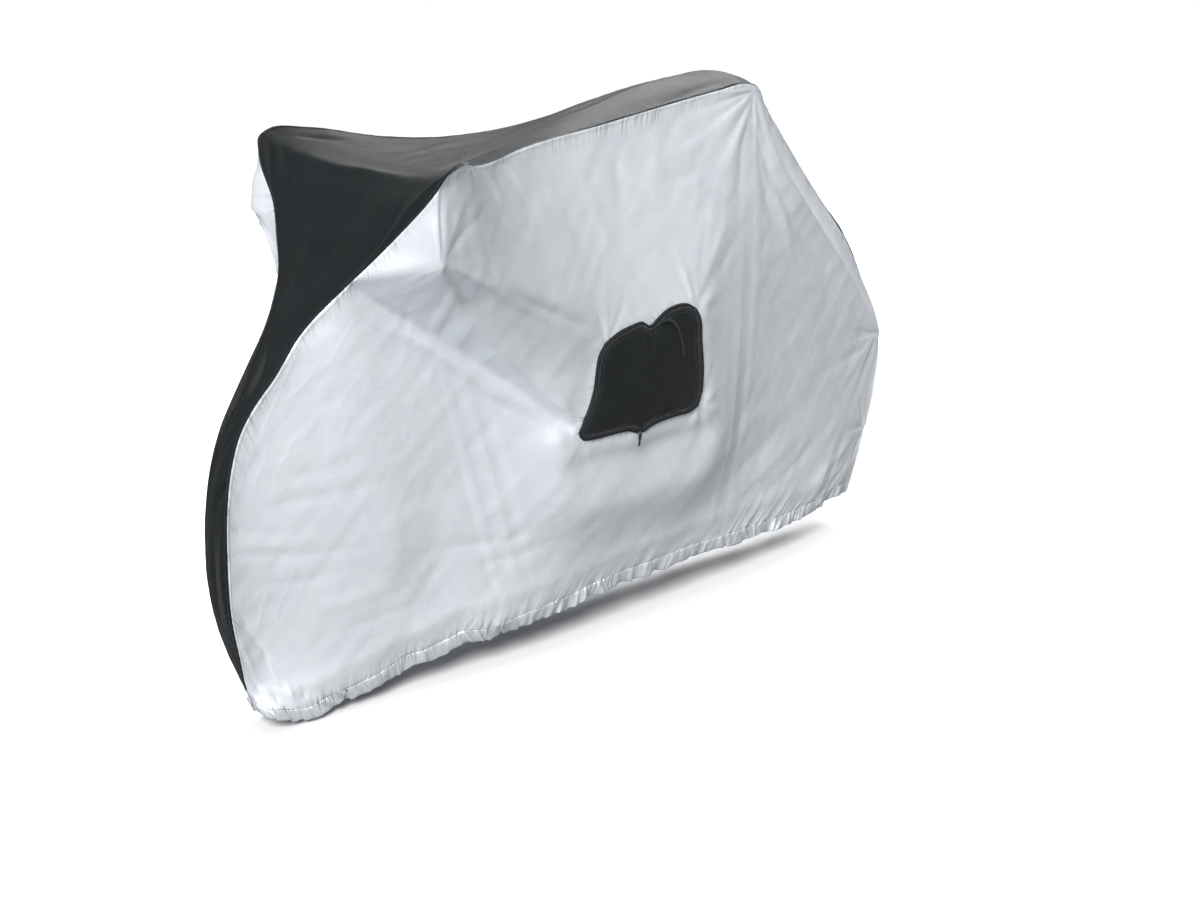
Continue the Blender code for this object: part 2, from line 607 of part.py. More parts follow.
def strip_on(front, line, wide, thick, lift):
    """Flat strip lying on a sheet along a side-view line: outer and inner grid."""
    line = np.asarray(line, float)
    way = unit(np.gradient(line, axis=0))
    across = np.stack([way[:, 1], -way[:, 0]], axis=1)
    height = surface_finder(front)
    sides = [line - across * wide / 2, line + across * wide / 2]
    rest = np.array([min(lowest_around(height, p[0], p[1], 0.002)
                         for p in (sides[0][k], sides[1][k])) for k in range(len(line))])
    lift = np.broadcast_to(lift, rest.shape)
    back = np.stack([np.stack([side[:, 0], rest - lift, side[:, 1]], axis=1)
                     for side in sides], axis=1)
    return back - np.array([0.0, thick, 0.0]), back


def zip_line(count):
    """Line a little inside the pocket's edge, once round from the foot notch."""
    top = resampled(POUCH_TOP, 24)
    rear = resampled(POUCH_REAR, 16)
    foot = resampled(POUCH_FOOT, 24)
    front = resampled(POUCH_FRONT, 16)
    ring = np.concatenate([top[:-1], rear[:-1], foot[::-1][:-1], front[::-1][:-1]])
    closed = np.concatenate([ring[-3:], ring, ring[:3]])
    way = unit(closed[6:] - closed[:-6])
    inset = ring + np.stack([way[:, 1], -way[:, 0]], axis=1) * ZIP_INSET
    start = int(np.argmin(np.hypot(inset[:, 0] - SLIDER_AT[0], inset[:, 1] - SLIDER_AT[1])))
    inset = np.roll(inset, -start, axis=0)
    way = np.concatenate(([0.0], np.cumsum(np.linalg.norm(np.diff(inset, axis=0), axis=1))))
    at = np.linspace(0.0, way[-1] - 0.004, count + 1)
    return np.stack([np.interp(at, way, inset[:, k]) for k in range(2)], axis=1)


def bevelled_box(centre, size, bevel, taper, lean):
    """Flat tab with cut corners: taper narrows its foot, lean tips it inwards."""
    w, d, h = (0.5 * side for side in size)
    outline = ((-w + bevel, h), (w - bevel, h), (w, h - bevel), (w * taper, -h + bevel),
               (w * taper - bevel, -h), (-w * taper + bevel, -h), (-w * taper, -h + bevel),
               (-w, h - bevel))
    verts = [(centre[0] + x, centre[1] + y + lean * (h - z) / (2 * h), centre[2] + z)
             for y in (-d, d) for x, z in outline]
    n = len(outline)
    faces = [tuple(range(n)), tuple(range(2 * n - 1, n - 1, -1))]
    faces += [(k, (k + 1) % n, (k + 1) % n + n, k + n) for k in range(n)]
    return verts, faces


# ------------------------------------------------------------ build
def build():
    for thing in list(bpy.data.objects):
        bpy.data.objects.remove(thing)
    made = {name: make_material(name) for name in MATERIALS}
    at = stations(STATIONS)
    band, near, far = solid_sheets(at)
    for name, sheet, material in (("centre_band", band, "nylon_black"),
                                  ("near_panel", near, "taffeta_silver"),
                                  ("far_panel", far, "taffeta_silver")):
        verts, faces = shell_mesh(*sheet)
        make_object(name, verts, faces, made[material])

    height = surface_finder(near[0], near[2])
    front, back = build_pouch(height)
    verts, faces = shell_mesh(front, back)
    make_object("pouch_panel", verts, faces, made["pocket_black"])

    zip_path = zip_line(ZIP_CELLS)
    zip_outer, zip_inner = strip_on(front, zip_path, ZIP_WIDE, ZIP_THICK, 2 * PIECE_GAP)
    verts, faces = shell_mesh(zip_outer, zip_inner)
    make_object("pouch_zip", verts, faces, made["zip_black"])

    strap_way = np.linspace(0, 1, STRAP_CELLS + 1)
    strap_lift = PIECE_GAP + STRAP_HOP * np.exp(-(strap_way / 0.42) ** 4)
    strap = strip_on(front, resampled(STRAP_LINE, STRAP_CELLS), STRAP_WIDE, STRAP_THICK,
                     strap_lift)
    verts, faces = shell_mesh(*strap)
    make_object("pouch_strap", verts, faces, made["webbing_black"])

    slider_x, slider_z = zip_path[0]
    zip_face = zip_outer[:2, :, 1].min(axis=1)
    zip_face = min(zip_face[0], 0.65 * zip_face[0] + 0.35 * zip_face[1])
    slider_y = zip_face - PIECE_GAP - SLIDER_SIZE[1] / 2
    verts, faces = bevelled_box((slider_x, slider_y, slider_z), SLIDER_SIZE,
                                0.002, 0.8, 0.0)
    make_object("zip_slider", verts, faces, made["slider_metal"])
    pull_z = slider_z - SLIDER_SIZE[2] / 2 - PIECE_GAP - PULL_SIZE[2] / 2
    verts, faces = bevelled_box((slider_x, slider_y, pull_z), PULL_SIZE, 0.002, 0.7,
                                PULL_LEAN)
    make_object("zip_pull", verts, faces, made["pull_rubber"])


build()
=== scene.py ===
# %% [markdown]
# # A fitted bicycle cover, as cloth
#
# The cover is three long pieces of cloth: a black nylon band that runs over the
# top from wheel to wheel, and a silver-coated side panel sewn to each edge of
# it. A black pocket sits on the near side, and elastic gathers the hem. The
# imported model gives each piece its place; this lesson gives each one its folds,
# its seams and its cloth.

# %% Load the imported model
import math

import bpy
import numpy as np
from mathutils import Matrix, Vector


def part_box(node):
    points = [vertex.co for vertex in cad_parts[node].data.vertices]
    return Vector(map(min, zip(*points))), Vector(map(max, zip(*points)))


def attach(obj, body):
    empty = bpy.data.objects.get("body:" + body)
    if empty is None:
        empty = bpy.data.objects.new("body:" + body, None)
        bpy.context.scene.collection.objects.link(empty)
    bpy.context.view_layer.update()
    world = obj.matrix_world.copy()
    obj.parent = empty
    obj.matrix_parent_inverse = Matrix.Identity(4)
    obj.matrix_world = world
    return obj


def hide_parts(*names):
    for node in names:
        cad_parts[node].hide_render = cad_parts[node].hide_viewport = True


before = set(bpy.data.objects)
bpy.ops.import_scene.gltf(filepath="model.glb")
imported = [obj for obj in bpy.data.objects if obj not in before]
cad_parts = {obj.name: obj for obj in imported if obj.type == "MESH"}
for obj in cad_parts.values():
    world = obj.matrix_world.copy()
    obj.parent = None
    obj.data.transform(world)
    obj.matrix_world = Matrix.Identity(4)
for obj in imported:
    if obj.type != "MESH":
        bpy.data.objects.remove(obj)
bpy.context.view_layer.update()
scene = bpy.context.scene

# %% [markdown]
# All shapes are worked out in side view: x runs from the front wheel to the
# rear wheel, z up from the ground, and y out to the two sides, with the near
# side at minus y. The model's own origin is under the saddle, so each finished
# mesh is moved there in one place, by ORIGIN.

# %% Sizes that the whole cover shares
ORIGIN = np.array([0.2, 0.0, 1.006])    # where the top rests on the saddle
HEM_DEPTH = 0.028                       # stitch line to hem edge
TURN_LENGTH = 0.045                     # metres of seam that a radian of bend is worth
END_CROWD = 2.5                         # stations stand closer at the two ends
END_REACH = 0.09                        # over this much of the seam
ALONG = 540                             # cells along each seam
NEAR_DOWN = 166                         # cells from seam to hem stitch, near side
FAR_DOWN = 104                          # the same on the far side
BAND_ACROSS = 96                        # cells from the near seam to the far one
CASING = 18                             # cells round the folded hem
print("cells: %d along, %d and %d down, %d round the hem" % (ALONG, NEAR_DOWN, FAR_DOWN, CASING))

# %% [markdown]
# A maker grades such a cover from a few measured stations. Each row of the band
# table is one station from the front hem over the top to the rear hem: where the
# near seam lies, how far both seams stand out, how much lower the far seam runs
# and where the middle of the band is. A second table has the low and high
# points of the hem, and which station the cloth of each hangs from.

# %% Stations of the band and the hem
BAND_COLUMNS = ("x", "z", "near", "far", "drop", "cx", "cz")
BAND_ROWS = (
    (-0.803, 0.072, -0.002, 0.002, 0.000, -0.804, 0.072),
    (-0.822, 0.140, -0.019, 0.019, 0.000, -0.825, 0.140),
    (-0.839, 0.220, -0.029, 0.029, 0.000, -0.843, 0.220),
    (-0.843, 0.328, -0.034, 0.034, 0.000, -0.848, 0.330),
    (-0.837, 0.405, -0.032, 0.033, 0.000, -0.841, 0.408),
    (-0.823, 0.476, -0.030, 0.031, 0.000, -0.826, 0.480),
    (-0.801, 0.534, -0.030, 0.030, 0.000, -0.801, 0.536),
    (-0.773, 0.576, -0.034, 0.034, 0.000, -0.770, 0.575),
    (-0.743, 0.613, -0.042, 0.042, 0.000, -0.740, 0.610),
    (-0.693, 0.681, -0.051, 0.051, 0.000, -0.695, 0.679),
    (-0.635, 0.757, -0.097, 0.094, 0.000, -0.645, 0.748),
    (-0.612, 0.799, -0.136, 0.130, 0.000, -0.612, 0.792),
    (-0.586, 0.851, -0.183, 0.175, 0.000, -0.580, 0.842),
    (-0.562, 0.923, -0.249, 0.249, 0.000, -0.537, 0.900),
    (-0.549, 0.950, -0.263, 0.266, 0.000, -0.508, 0.916),
    (-0.526, 0.961, -0.266, 0.266, -0.001, -0.470, 0.920),
    (-0.473, 0.952, -0.236, 0.234, -0.010, -0.410, 0.922),
    (-0.370, 0.944, -0.170, 0.168, 0.001, -0.330, 0.927),
    (-0.285, 0.944, -0.120, 0.115, 0.006, -0.262, 0.934),
    (-0.200, 0.947, -0.090, 0.088, 0.006, -0.192, 0.944),
    (-0.061, 0.957, -0.075, 0.074, 0.002, -0.060, 0.973),
    (0.037, 0.969, -0.075, 0.074, -0.004, 0.037, 0.989),
    (0.138, 0.981, -0.075, 0.075, -0.006, 0.138, 1.004),
    (0.237, 0.993, -0.080, 0.080, -0.003, 0.240, 1.013),
    (0.306, 0.999, -0.081, 0.080, 0.000, 0.314, 1.015),
    (0.337, 0.991, -0.078, 0.079, 0.000, 0.351, 1.002),
    (0.380, 0.945, -0.067, 0.072, 0.000, 0.392, 0.952),
    (0.455, 0.873, -0.050, 0.060, 0.000, 0.463, 0.875),
    (0.600, 0.733, -0.021, 0.056, 0.000, 0.608, 0.738),
    (0.690, 0.638, -0.015, 0.050, 0.000, 0.705, 0.651),
    (0.761, 0.548, -0.001, 0.056, 0.000, 0.769, 0.548),
    (0.833, 0.413, 0.002, 0.060, 0.000, 0.838, 0.410),
    (0.836, 0.385, 0.002, 0.060, 0.000, 0.841, 0.384),
    (0.820, 0.258, 0.001, 0.060, 0.000, 0.824, 0.258),
    (0.792, 0.172, 0.001, 0.058, 0.000, 0.795, 0.172),
    (0.744, 0.066, -0.002, 0.050, 0.000, 0.746, 0.066),
)
HEM_COLUMNS = ("x", "z", "y", "station")
HEM_ROWS = (
    (-0.788, 0.028, -0.0003, 0.0),
    (-0.787, 0.028, -0.030, 0.20),
    (-0.770, 0.020, -0.045, 0.45),
    (-0.727, 0.010, -0.050, 0.80),
    (-0.691, 0.003, -0.052, 1.1),
    (-0.660, 0.012, -0.055, 1.5),
    (-0.594, 0.022, -0.060, 2.6),
    (-0.545, 0.028, -0.062, 3.6),
    (-0.493, 0.044, -0.065, 5.0),
    (-0.451, 0.044, -0.070, 6.4),
    (-0.381, 0.059, -0.080, 9.6),
    (-0.334, 0.049, -0.083, 12.0),
    (-0.248, 0.060, -0.090, 15.0),
    (-0.149, 0.062, -0.092, 17.6),
    (-0.032, 0.073, -0.092, 19.9),
    (0.060, 0.073, -0.090, 21.2),
    (0.178, 0.075, -0.085, 23.0),
    (0.310, 0.069, -0.078, 26.0),
    (0.473, 0.062, -0.063, 29.4),
    (0.600, 0.066, -0.045, 32.0),
    (0.688, 0.072, -0.024, 33.9),
    (0.736, 0.064, -0.003, 34.8),
)
HEM_FRONT, HEM_SPAN = -0.788, 1.524            # the hem's front end, and its length in side view
FAR_HEM_SHIFT, FAR_HEM_WAVE = 0.01, 0.004      # the far hem hangs lower amidships, and waves
FAR_REAR_HEM = 0.052                           # how far out the far hem ends at the rear
FAR_REAR_FROM, FAR_REAR_SPAN = 0.35, 0.386     # where it starts to swing out, and over what length
FAR_TOE_IN = 0.012                             # the far hem's front corner tucks back this much
print("%d stations of the band, %d of the hem" % (len(BAND_ROWS), len(HEM_ROWS)))

# %% [markdown]
# Between two stations the cloth bends smoothly, so the rows of each column are
# joined by cubics. The cells along the seam aren't even: they are short where it
# bends hard, as over the bar ends, and near the hems, where the band runs out.

# %% Smooth curves through the stations
def column(rows, names, name):
    """One column of a table as an array."""
    return np.array([row[names.index(name)] for row in rows])


def curve(knots, values, at):
    """Smooth curve through table rows: on each stretch a cubic, whose slopes at
    the rows are the weighted mean of the rises on both sides."""
    knots = np.asarray(knots, float)
    values = np.asarray(values, float)
    at = np.clip(at, knots[0], knots[-1])
    step = np.diff(knots)
    rise = np.diff(values) / step
    slope = np.empty(len(knots))
    slope[1:-1] = (rise[:-1] * step[1:] + rise[1:] * step[:-1]) / (step[1:] + step[:-1])
    slope[[0, -1]] = rise[[0, -1]]
    k = np.clip(np.searchsorted(knots, at, side="right") - 1, 0, len(step) - 1)
    t = (at - knots[k]) / step[k]
    h = step[k]
    first = (1 + 2 * t) * (1 - t) ** 2 * values[k] + t * (1 - t) ** 2 * h * slope[k]
    last = t * t * (3 - 2 * t) * values[k + 1] + t * t * (t - 1) * h * slope[k + 1]
    return first + last


def unit(v):
    """Each vector divided by its own length."""
    return v / np.maximum(np.linalg.norm(v, axis=-1, keepdims=True), 1e-12)


def lengths_along(points):
    """Distance from the first point to each one, along the line through them."""
    return np.concatenate(([0.0], np.cumsum(np.linalg.norm(np.diff(points, axis=0), axis=1))))


def read_at(line, way, at):
    """Points of a line at distances along it, where way is each point's own."""
    return np.stack([np.interp(at, way, axis) for axis in line.T], axis=-1)


KNOTS = lengths_along(np.stack([column(BAND_ROWS, BAND_COLUMNS, n) for n in ("x", "near", "z")],
                               axis=1))


def band_curve(name, at):
    """Column of the band table at a distance along the near seam."""
    return curve(KNOTS, column(BAND_ROWS, BAND_COLUMNS, name), at)


def stations(count):
    """Places along the seam: even steps of length plus bend times TURN_LENGTH,
    with the two ends crowded."""
    fine = np.linspace(0.0, KNOTS[-1], 4001)
    line = np.stack([band_curve(n, fine) for n in ("x", "near", "z")], axis=1)
    way = unit(np.diff(line, axis=0))
    bend = np.arccos(np.clip(np.sum(way[1:] * way[:-1], axis=1), -1, 1))
    ends = np.minimum(fine[:-1], fine[-1] - fine[:-1])
    work = np.diff(fine) * (1 + END_CROWD * np.exp(-(ends / END_REACH) ** 2))
    work[1:] = work[1:] + TURN_LENGTH * bend
    total = np.concatenate(([0.0], np.cumsum(work)))
    return np.interp(np.linspace(0, total[-1], count + 1), total, fine)


AT = stations(ALONG)
print("seam length %.3f m, %d cells" % (KNOTS[-1], ALONG))

# %% [markdown]
# Cloth is never smooth, and its unevenness is not random either: it has a
# size and a grain. Two helpers make it. The first is a wavering line, the
# second a wavering field that can be stretched along a direction. Both blend
# seeded random heights with a soft curve, so every run gives the same cloth.
# Two more sharpen them, for gathers and for crumples.

# %% Seeded waver
def waver(x, cell, seed):
    """Smooth random curve from -1 to 1: seeded heights every cell metres,
    blended by the soft step 3t^2 - 2t^3."""
    heights = np.random.default_rng(seed).uniform(-1, 1, 4096)
    q = np.asarray(x) / cell + 1000.0
    k = np.floor(q).astype(int)
    t = q - k
    t = t * t * (3 - 2 * t)
    return heights[k % 4096] * (1 - t) + heights[(k + 1) % 4096] * t


def field(x, z, across, along, angle, seed):
    """Smooth random field from -1 to 1, with cells of along by across metres,
    the long side turned by angle degrees from the x axis."""
    a = math.radians(angle)
    p = (x * math.cos(a) + z * math.sin(a)) / along + 200.0
    q = (-x * math.sin(a) + z * math.cos(a)) / across + 200.0
    heights = np.random.default_rng(seed).uniform(-1, 1, (512, 512))
    i = np.floor(p).astype(int)
    j = np.floor(q).astype(int)
    s = p - i
    t = q - j
    s = s * s * (3 - 2 * s)
    t = t * t * (3 - 2 * t)
    i0, i1, j0, j1 = i % 512, (i + 1) % 512, j % 512, (j + 1) % 512
    low = heights[i0, j0] * (1 - s) + heights[i1, j0] * s
    high = heights[i0, j1] * (1 - s) + heights[i1, j1] * s
    return low * (1 - t) + high * t


def ridged(f):
    """Turns a smooth field into narrow crests: 1 on its zero lines, 0 far off."""
    return (1 - np.minimum(np.abs(f) * 2.2, 1)) ** 2


def pinched(x, cell, seed):
    """Random curve with sharp crests and wide soft troughs: 1 - 2 |waver|^0.7."""
    return 1 - 2 * np.abs(waver(x, cell, seed)) ** 0.7


def patches(x, cell, seed):
    """Random curve from 0 to 1, for folds that come and go along an edge."""
    return np.clip(0.5 + waver(x, cell, seed), 0, 1)


print("waver at 0, 5 and 10 mm:", waver(np.array([0.0, 0.005, 0.01]), 0.01, 1).round(2))

# %% [markdown]
# A crease is placed as a tailor would chalk it: a bent line in side
# view, how high it stands or how deep it lies, how wide it is at each end, where
# along it is strongest, and how round its top is. Positive heights stand
# out towards the viewer. Round 2 gives a soft fold, round 1 a pressed crease.
# Round a point that pulls, the cloth wrinkles like the spokes of a fan.

# %% Creases from chalk lines
CREASE_COLUMNS = ("line", "height", "wide0", "wide1", "peak", "round")
PULL_COLUMNS = ("centre", "reach", "cell", "height")


def line_distance(place, line):
    """Distance of each point to a bent line, in side view or in space, and how
    far along it the nearest point lies, from 0 to 1."""
    line = np.asarray(line, float)
    way = lengths_along(line)
    best = np.full(place.shape[:-1], 1e9)
    share = np.zeros(place.shape[:-1])
    for k in range(len(line) - 1):
        step = line[k + 1] - line[k]
        t = np.clip((place - line[k]) @ step / (step @ step), 0, 1)
        off = np.linalg.norm(place - line[k] - t[..., None] * step, axis=-1)
        nearer = off < best
        best = np.where(nearer, off, best)
        share = np.where(nearer, (way[k] + t * np.linalg.norm(step)) / way[-1], share)
    return best, share


def creases(place, rows):
    """Sum of all creases: height times a bell of the distance over the width,
    exp(-(d/w)^round), times a smooth rise to the peak and a smooth fall after it."""
    out = np.zeros(place.shape[:-1])
    for row in rows:
        c = dict(zip(CREASE_COLUMNS, row))
        off, t = line_distance(place, c["line"])
        wide = c["wide0"] + (c["wide1"] - c["wide0"]) * t
        rise = np.clip(t / c["peak"], 0, 1)
        fall = np.clip((1 - t) / (1 - c["peak"]), 0, 1)
        along = (rise * fall) ** 2 * (3 - 2 * rise) * (3 - 2 * fall)
        out += c["height"] * along * np.exp(-(off / wide) ** c["round"])
    return out


def fan(x, z, centre, reach, cell, seed):
    """Tension wrinkles round a point that pulls: a wavering curve of the angle,
    times r/reach * exp(1 - r/reach), so that it is still at the point itself."""
    dx = x - centre[0]
    dz = z - centre[1]
    far_off = np.hypot(dx, dz) / reach
    return waver(np.arctan2(dz, dx), cell, seed) * far_off * np.exp(1 - far_off)


def pulled(x, z, rows, seed):
    """Tension wrinkles round every point of a table that pulls on the cloth."""
    out = np.zeros(x.shape)
    for k, row in enumerate(rows):
        c = dict(zip(PULL_COLUMNS, row))
        out += c["height"] * fan(x, z, c["centre"], c["reach"], c["cell"], seed + k)
    return out


print("a crease is chalked as:", *CREASE_COLUMNS)

# %% [markdown]
# A side panel hangs from its seam and is drawn in at the hem, and from inside
# the bar end, the pedal and the wheels push it out. Between those it is pulled
# straight. These are the straight lines of cloth: where each one starts and
# ends, how firmly it is held, and how far to its sides the hold reaches.

# %% Lines where the cloth is held out or pulled tight
LINE_COLUMNS = ("x0", "z0", "y0", "x1", "z1", "y1", "grip", "reach")
NEAR_LINES = (
    (-0.556, 0.925, -0.252, -0.548, 0.806, -0.243, 1.0, 0.006),  # bar end, upright
    (-0.620, 0.776, -0.124, -0.548, 0.806, -0.243, 1.0, 0.006),  # bright facet, foot
    (-0.548, 0.806, -0.243, -0.250, 0.664, -0.183, 1.0, 0.008),  # upper ridge to the pocket
    (-0.250, 0.664, -0.183, -0.125, 0.592, -0.160, 1.0, 0.010),
    (-0.548, 0.806, -0.243, -0.460, 0.714, -0.181, 1.0, 0.006),  # rear edge of the dark facet
    (-0.460, 0.714, -0.181, -0.298, 0.558, -0.158, 1.0, 0.008),
    (-0.298, 0.558, -0.158, -0.188, 0.448, -0.164, 1.0, 0.008),
    (-0.628, 0.757, -0.100, -0.527, 0.689, -0.103, 0.9, 0.007),  # foot of the dark facet
    (-0.527, 0.689, -0.103, -0.335, 0.551, -0.122, 1.0, 0.007),
    (-0.335, 0.551, -0.122, -0.205, 0.446, -0.146, 1.0, 0.008),
    (-0.125, 0.586, -0.160, 0.115, 0.614, -0.152, 0.8, 0.014),   # pocket, top
    (0.115, 0.614, -0.152, 0.130, 0.414, -0.154, 0.8, 0.014),    # pocket, rear
    (0.130, 0.414, -0.156, -0.047, 0.414, -0.166, 0.8, 0.020),   # pocket, foot
    (-0.047, 0.414, -0.166, -0.190, 0.423, -0.1575, 0.7, 0.024),
    (-0.190, 0.423, -0.1575, -0.125, 0.590, -0.160, 0.7, 0.024),  # pocket, front
    (-0.150, 0.345, -0.150, 0.120, 0.335, -0.147, 0.2, 0.045),   # under the pocket
    (0.306, 0.985, -0.083, 0.235, 0.800, -0.104, 0.5, 0.016),    # fall from the saddle
    (0.235, 0.800, -0.104, 0.115, 0.614, -0.152, 0.5, 0.016),
    (0.325, 0.980, -0.082, 0.393, 0.833, -0.090, 1.0, 0.007),    # rear ridge
    (0.393, 0.833, -0.090, 0.468, 0.757, -0.083, 1.0, 0.008),
    (0.468, 0.757, -0.083, 0.692, 0.547, -0.036, 1.0, 0.008),
    (0.692, 0.547, -0.036, 0.828, 0.412, -0.004, 1.0, 0.006),
    (-0.493, 0.330, -0.078, -0.493, 0.200, -0.068, 0.3, 0.030),  # front wheel side
)
FAR_LINES = (
    (-0.556, 0.925, 0.256, -0.572, 0.835, 0.252, 1.0, 0.012),    # bar end, upright
    (-0.630, 0.760, 0.110, -0.572, 0.835, 0.252, 1.0, 0.008),
    (-0.572, 0.835, 0.252, 0.140, 0.300, 0.168, 0.8, 0.014),     # ridge to the pedal
    (-0.650, 0.728, 0.083, -0.200, 0.380, 0.120, 0.6, 0.016),    # trough below it
    (0.140, 0.300, 0.168, 0.160, 0.260, 0.168, 1.0, 0.020),      # pedal
    (0.318, 0.985, 0.081, 0.470, 0.760, 0.092, 0.8, 0.012),      # rear ridge
    (0.470, 0.760, 0.092, 0.828, 0.412, 0.062, 0.8, 0.012),
)
print("lines held: %d near, %d far" % (len(NEAR_LINES), len(FAR_LINES)))

# %% [markdown]
# Each panel starts as a flat grid in side view, with a column of points hanging
# from every station of the seam to its own place on the hem.

# %% Laying out a panel
CROWDED = 0.62           # how much closer the rows stand at seam and hem


def seam_points(at, side):
    """Seam in space: the table's side view, standing out by near or far."""
    z = band_curve("z", at)
    if side == "far":
        z = z - band_curve("drop", at)
    return np.stack([band_curve("x", at), band_curve(side, at), z], axis=1)


def hem_points(at, far):
    """Hem edge under each station: straight between the hem table's rows."""
    rows = np.interp(at, KNOTS, np.arange(len(KNOTS)))
    place = column(HEM_ROWS, HEM_COLUMNS, "station")
    x, y, z = (np.interp(rows, place, column(HEM_ROWS, HEM_COLUMNS, n)) for n in "xyz")
    if far:
        share = np.clip((x - HEM_FRONT) / HEM_SPAN, 0, 1)
        lift = np.sin(math.pi * share)
        z = z - FAR_HEM_SHIFT * lift + FAR_HEM_WAVE * np.sin(9.0 * x + 1.0) * lift
        y = -y + FAR_REAR_HEM * np.clip((x - FAR_REAR_FROM) / FAR_REAR_SPAN, 0, 1) ** 2
        x = x + FAR_TOE_IN * np.sin(math.pi * np.clip(rows / 0.9, 0, 1))
    return np.stack([x, y, z], axis=1)


def down_shares(cells):
    """Rows from seam to stitch line, crowded at both: t - c sin(2 pi t) / 2 pi."""
    t = np.linspace(0, 1, cells + 1)
    return t - CROWDED * np.sin(2 * math.pi * t) / (2 * math.pi)


def panel_layout(at, cells, far):
    """Grid of a panel before it is pulled tight: each column runs straight from
    the seam to the stitch line, HEM_DEPTH above the hem edge, or less where the
    panel is hardly longer than its hem."""
    seam = seam_points(at, "far" if far else "near")
    hem = hem_points(at, far)
    length = np.linalg.norm(hem - seam, axis=1)
    stitch = 1 - np.minimum(HEM_DEPTH, 0.45 * length) / length
    share = down_shares(cells)[None] * stitch[:, None]
    return seam[:, None] + (hem - seam)[:, None] * share[..., None], hem


print("longest column %.3f m" % np.linalg.norm(hem_points(AT, False) - seam_points(AT, "near"),
                                               axis=1).max())

# %% [markdown]
# Its main form is what a stretched skin would take: how far each point stands out
# is found by letting every point settle at the mean of its neighbours while the
# seam, the hem and the lines are held. A cloth simulation could do it too, but
# this gives the same ridges each time, just where the table puts them.

# %% Pulling a panel tight
GRIP_PULL = 160.0        # how firmly a held line keeps its place
HELD_CELL = 0.03         # size of cloth that the pull is measured against
GRIDS = ((8, 1500), (4, 1200), (2, 900), (1, 500))    # coarseness, and rounds of settling


def held(x, z, lines):
    """Pull and height that the held lines give each point."""
    pull = np.zeros(x.shape)
    height = np.zeros(x.shape)
    for row in lines:
        line = dict(zip(LINE_COLUMNS, row))
        ends = ((line["x0"], line["z0"]), (line["x1"], line["z1"]))
        off, t = line_distance(np.stack([x, z], axis=-1), ends)
        grip = line["grip"] * GRIP_PULL * np.exp(-(off / line["reach"]) ** 2)
        pull += grip
        height += grip * (line["y0"] + t * (line["y1"] - line["y0"]))
    return pull / HELD_CELL ** 2, height / HELD_CELL ** 2


def settle(x, z, y, lines, rounds):
    """Pull the cloth tight: each inner point moves to the mean of its four
    neighbours, each weighted by one over its distance squared."""
    pull, height = held(x, z, lines)
    u = 1 / np.maximum(np.hypot(np.diff(x, axis=0), np.diff(z, axis=0)), 1e-5) ** 2
    v = 1 / np.maximum(np.hypot(np.diff(x, axis=1), np.diff(z, axis=1)), 1e-5) ** 2
    a, b, c, d = u[:-1, 1:-1], u[1:, 1:-1], v[1:-1, :-1], v[1:-1, 1:]
    total = a + b + c + d + pull[1:-1, 1:-1]
    a, b, c, d = a / total, b / total, c / total, d / total
    rest = height[1:-1, 1:-1] / total
    for _ in range(rounds):
        y[1:-1, 1:-1] = (a * y[:-2, 1:-1] + b * y[2:, 1:-1] + c * y[1:-1, :-2]
                         + d * y[1:-1, 2:] + rest)
    return y


def stretched(values, shape):
    """A grid of values read off at another number of rows and columns."""
    old = np.linspace(0, 1, values.shape[0])
    new = np.linspace(0, 1, shape[0])
    wide = np.stack([np.interp(new, old, line) for line in values.T], axis=1)
    old = np.linspace(0, 1, values.shape[1])
    new = np.linspace(0, 1, shape[1])
    return np.stack([np.interp(new, old, line) for line in wide], axis=0)


def tight_panel(cells, far):
    """Panel pulled tight on coarse grids first, then on finer ones."""
    lines = FAR_LINES if far else NEAR_LINES
    lift = None
    for share, rounds in GRIDS:
        at = np.interp(np.linspace(0, ALONG, ALONG // share + 1), np.arange(ALONG + 1), AT)
        grid, hem = panel_layout(at, cells // share, far)
        flat = grid[..., 1].copy()
        if lift is None:
            lift = np.zeros(flat.shape)
        lift = stretched(lift, flat.shape)
        lift[[0, -1]] = 0
        lift[:, [0, -1]] = 0
        y = settle(grid[..., 0], grid[..., 2], flat + lift, lines, rounds)
        lift = y - flat
    grid[..., 1] = y
    return grid, hem


near_form, near_hem = tight_panel(NEAR_DOWN, False)
far_form, far_hem = tight_panel(FAR_DOWN, True)
print("near panel stands out from %.3f to %.3f m" % (near_form[..., 1].min(), near_form[..., 1].max()))
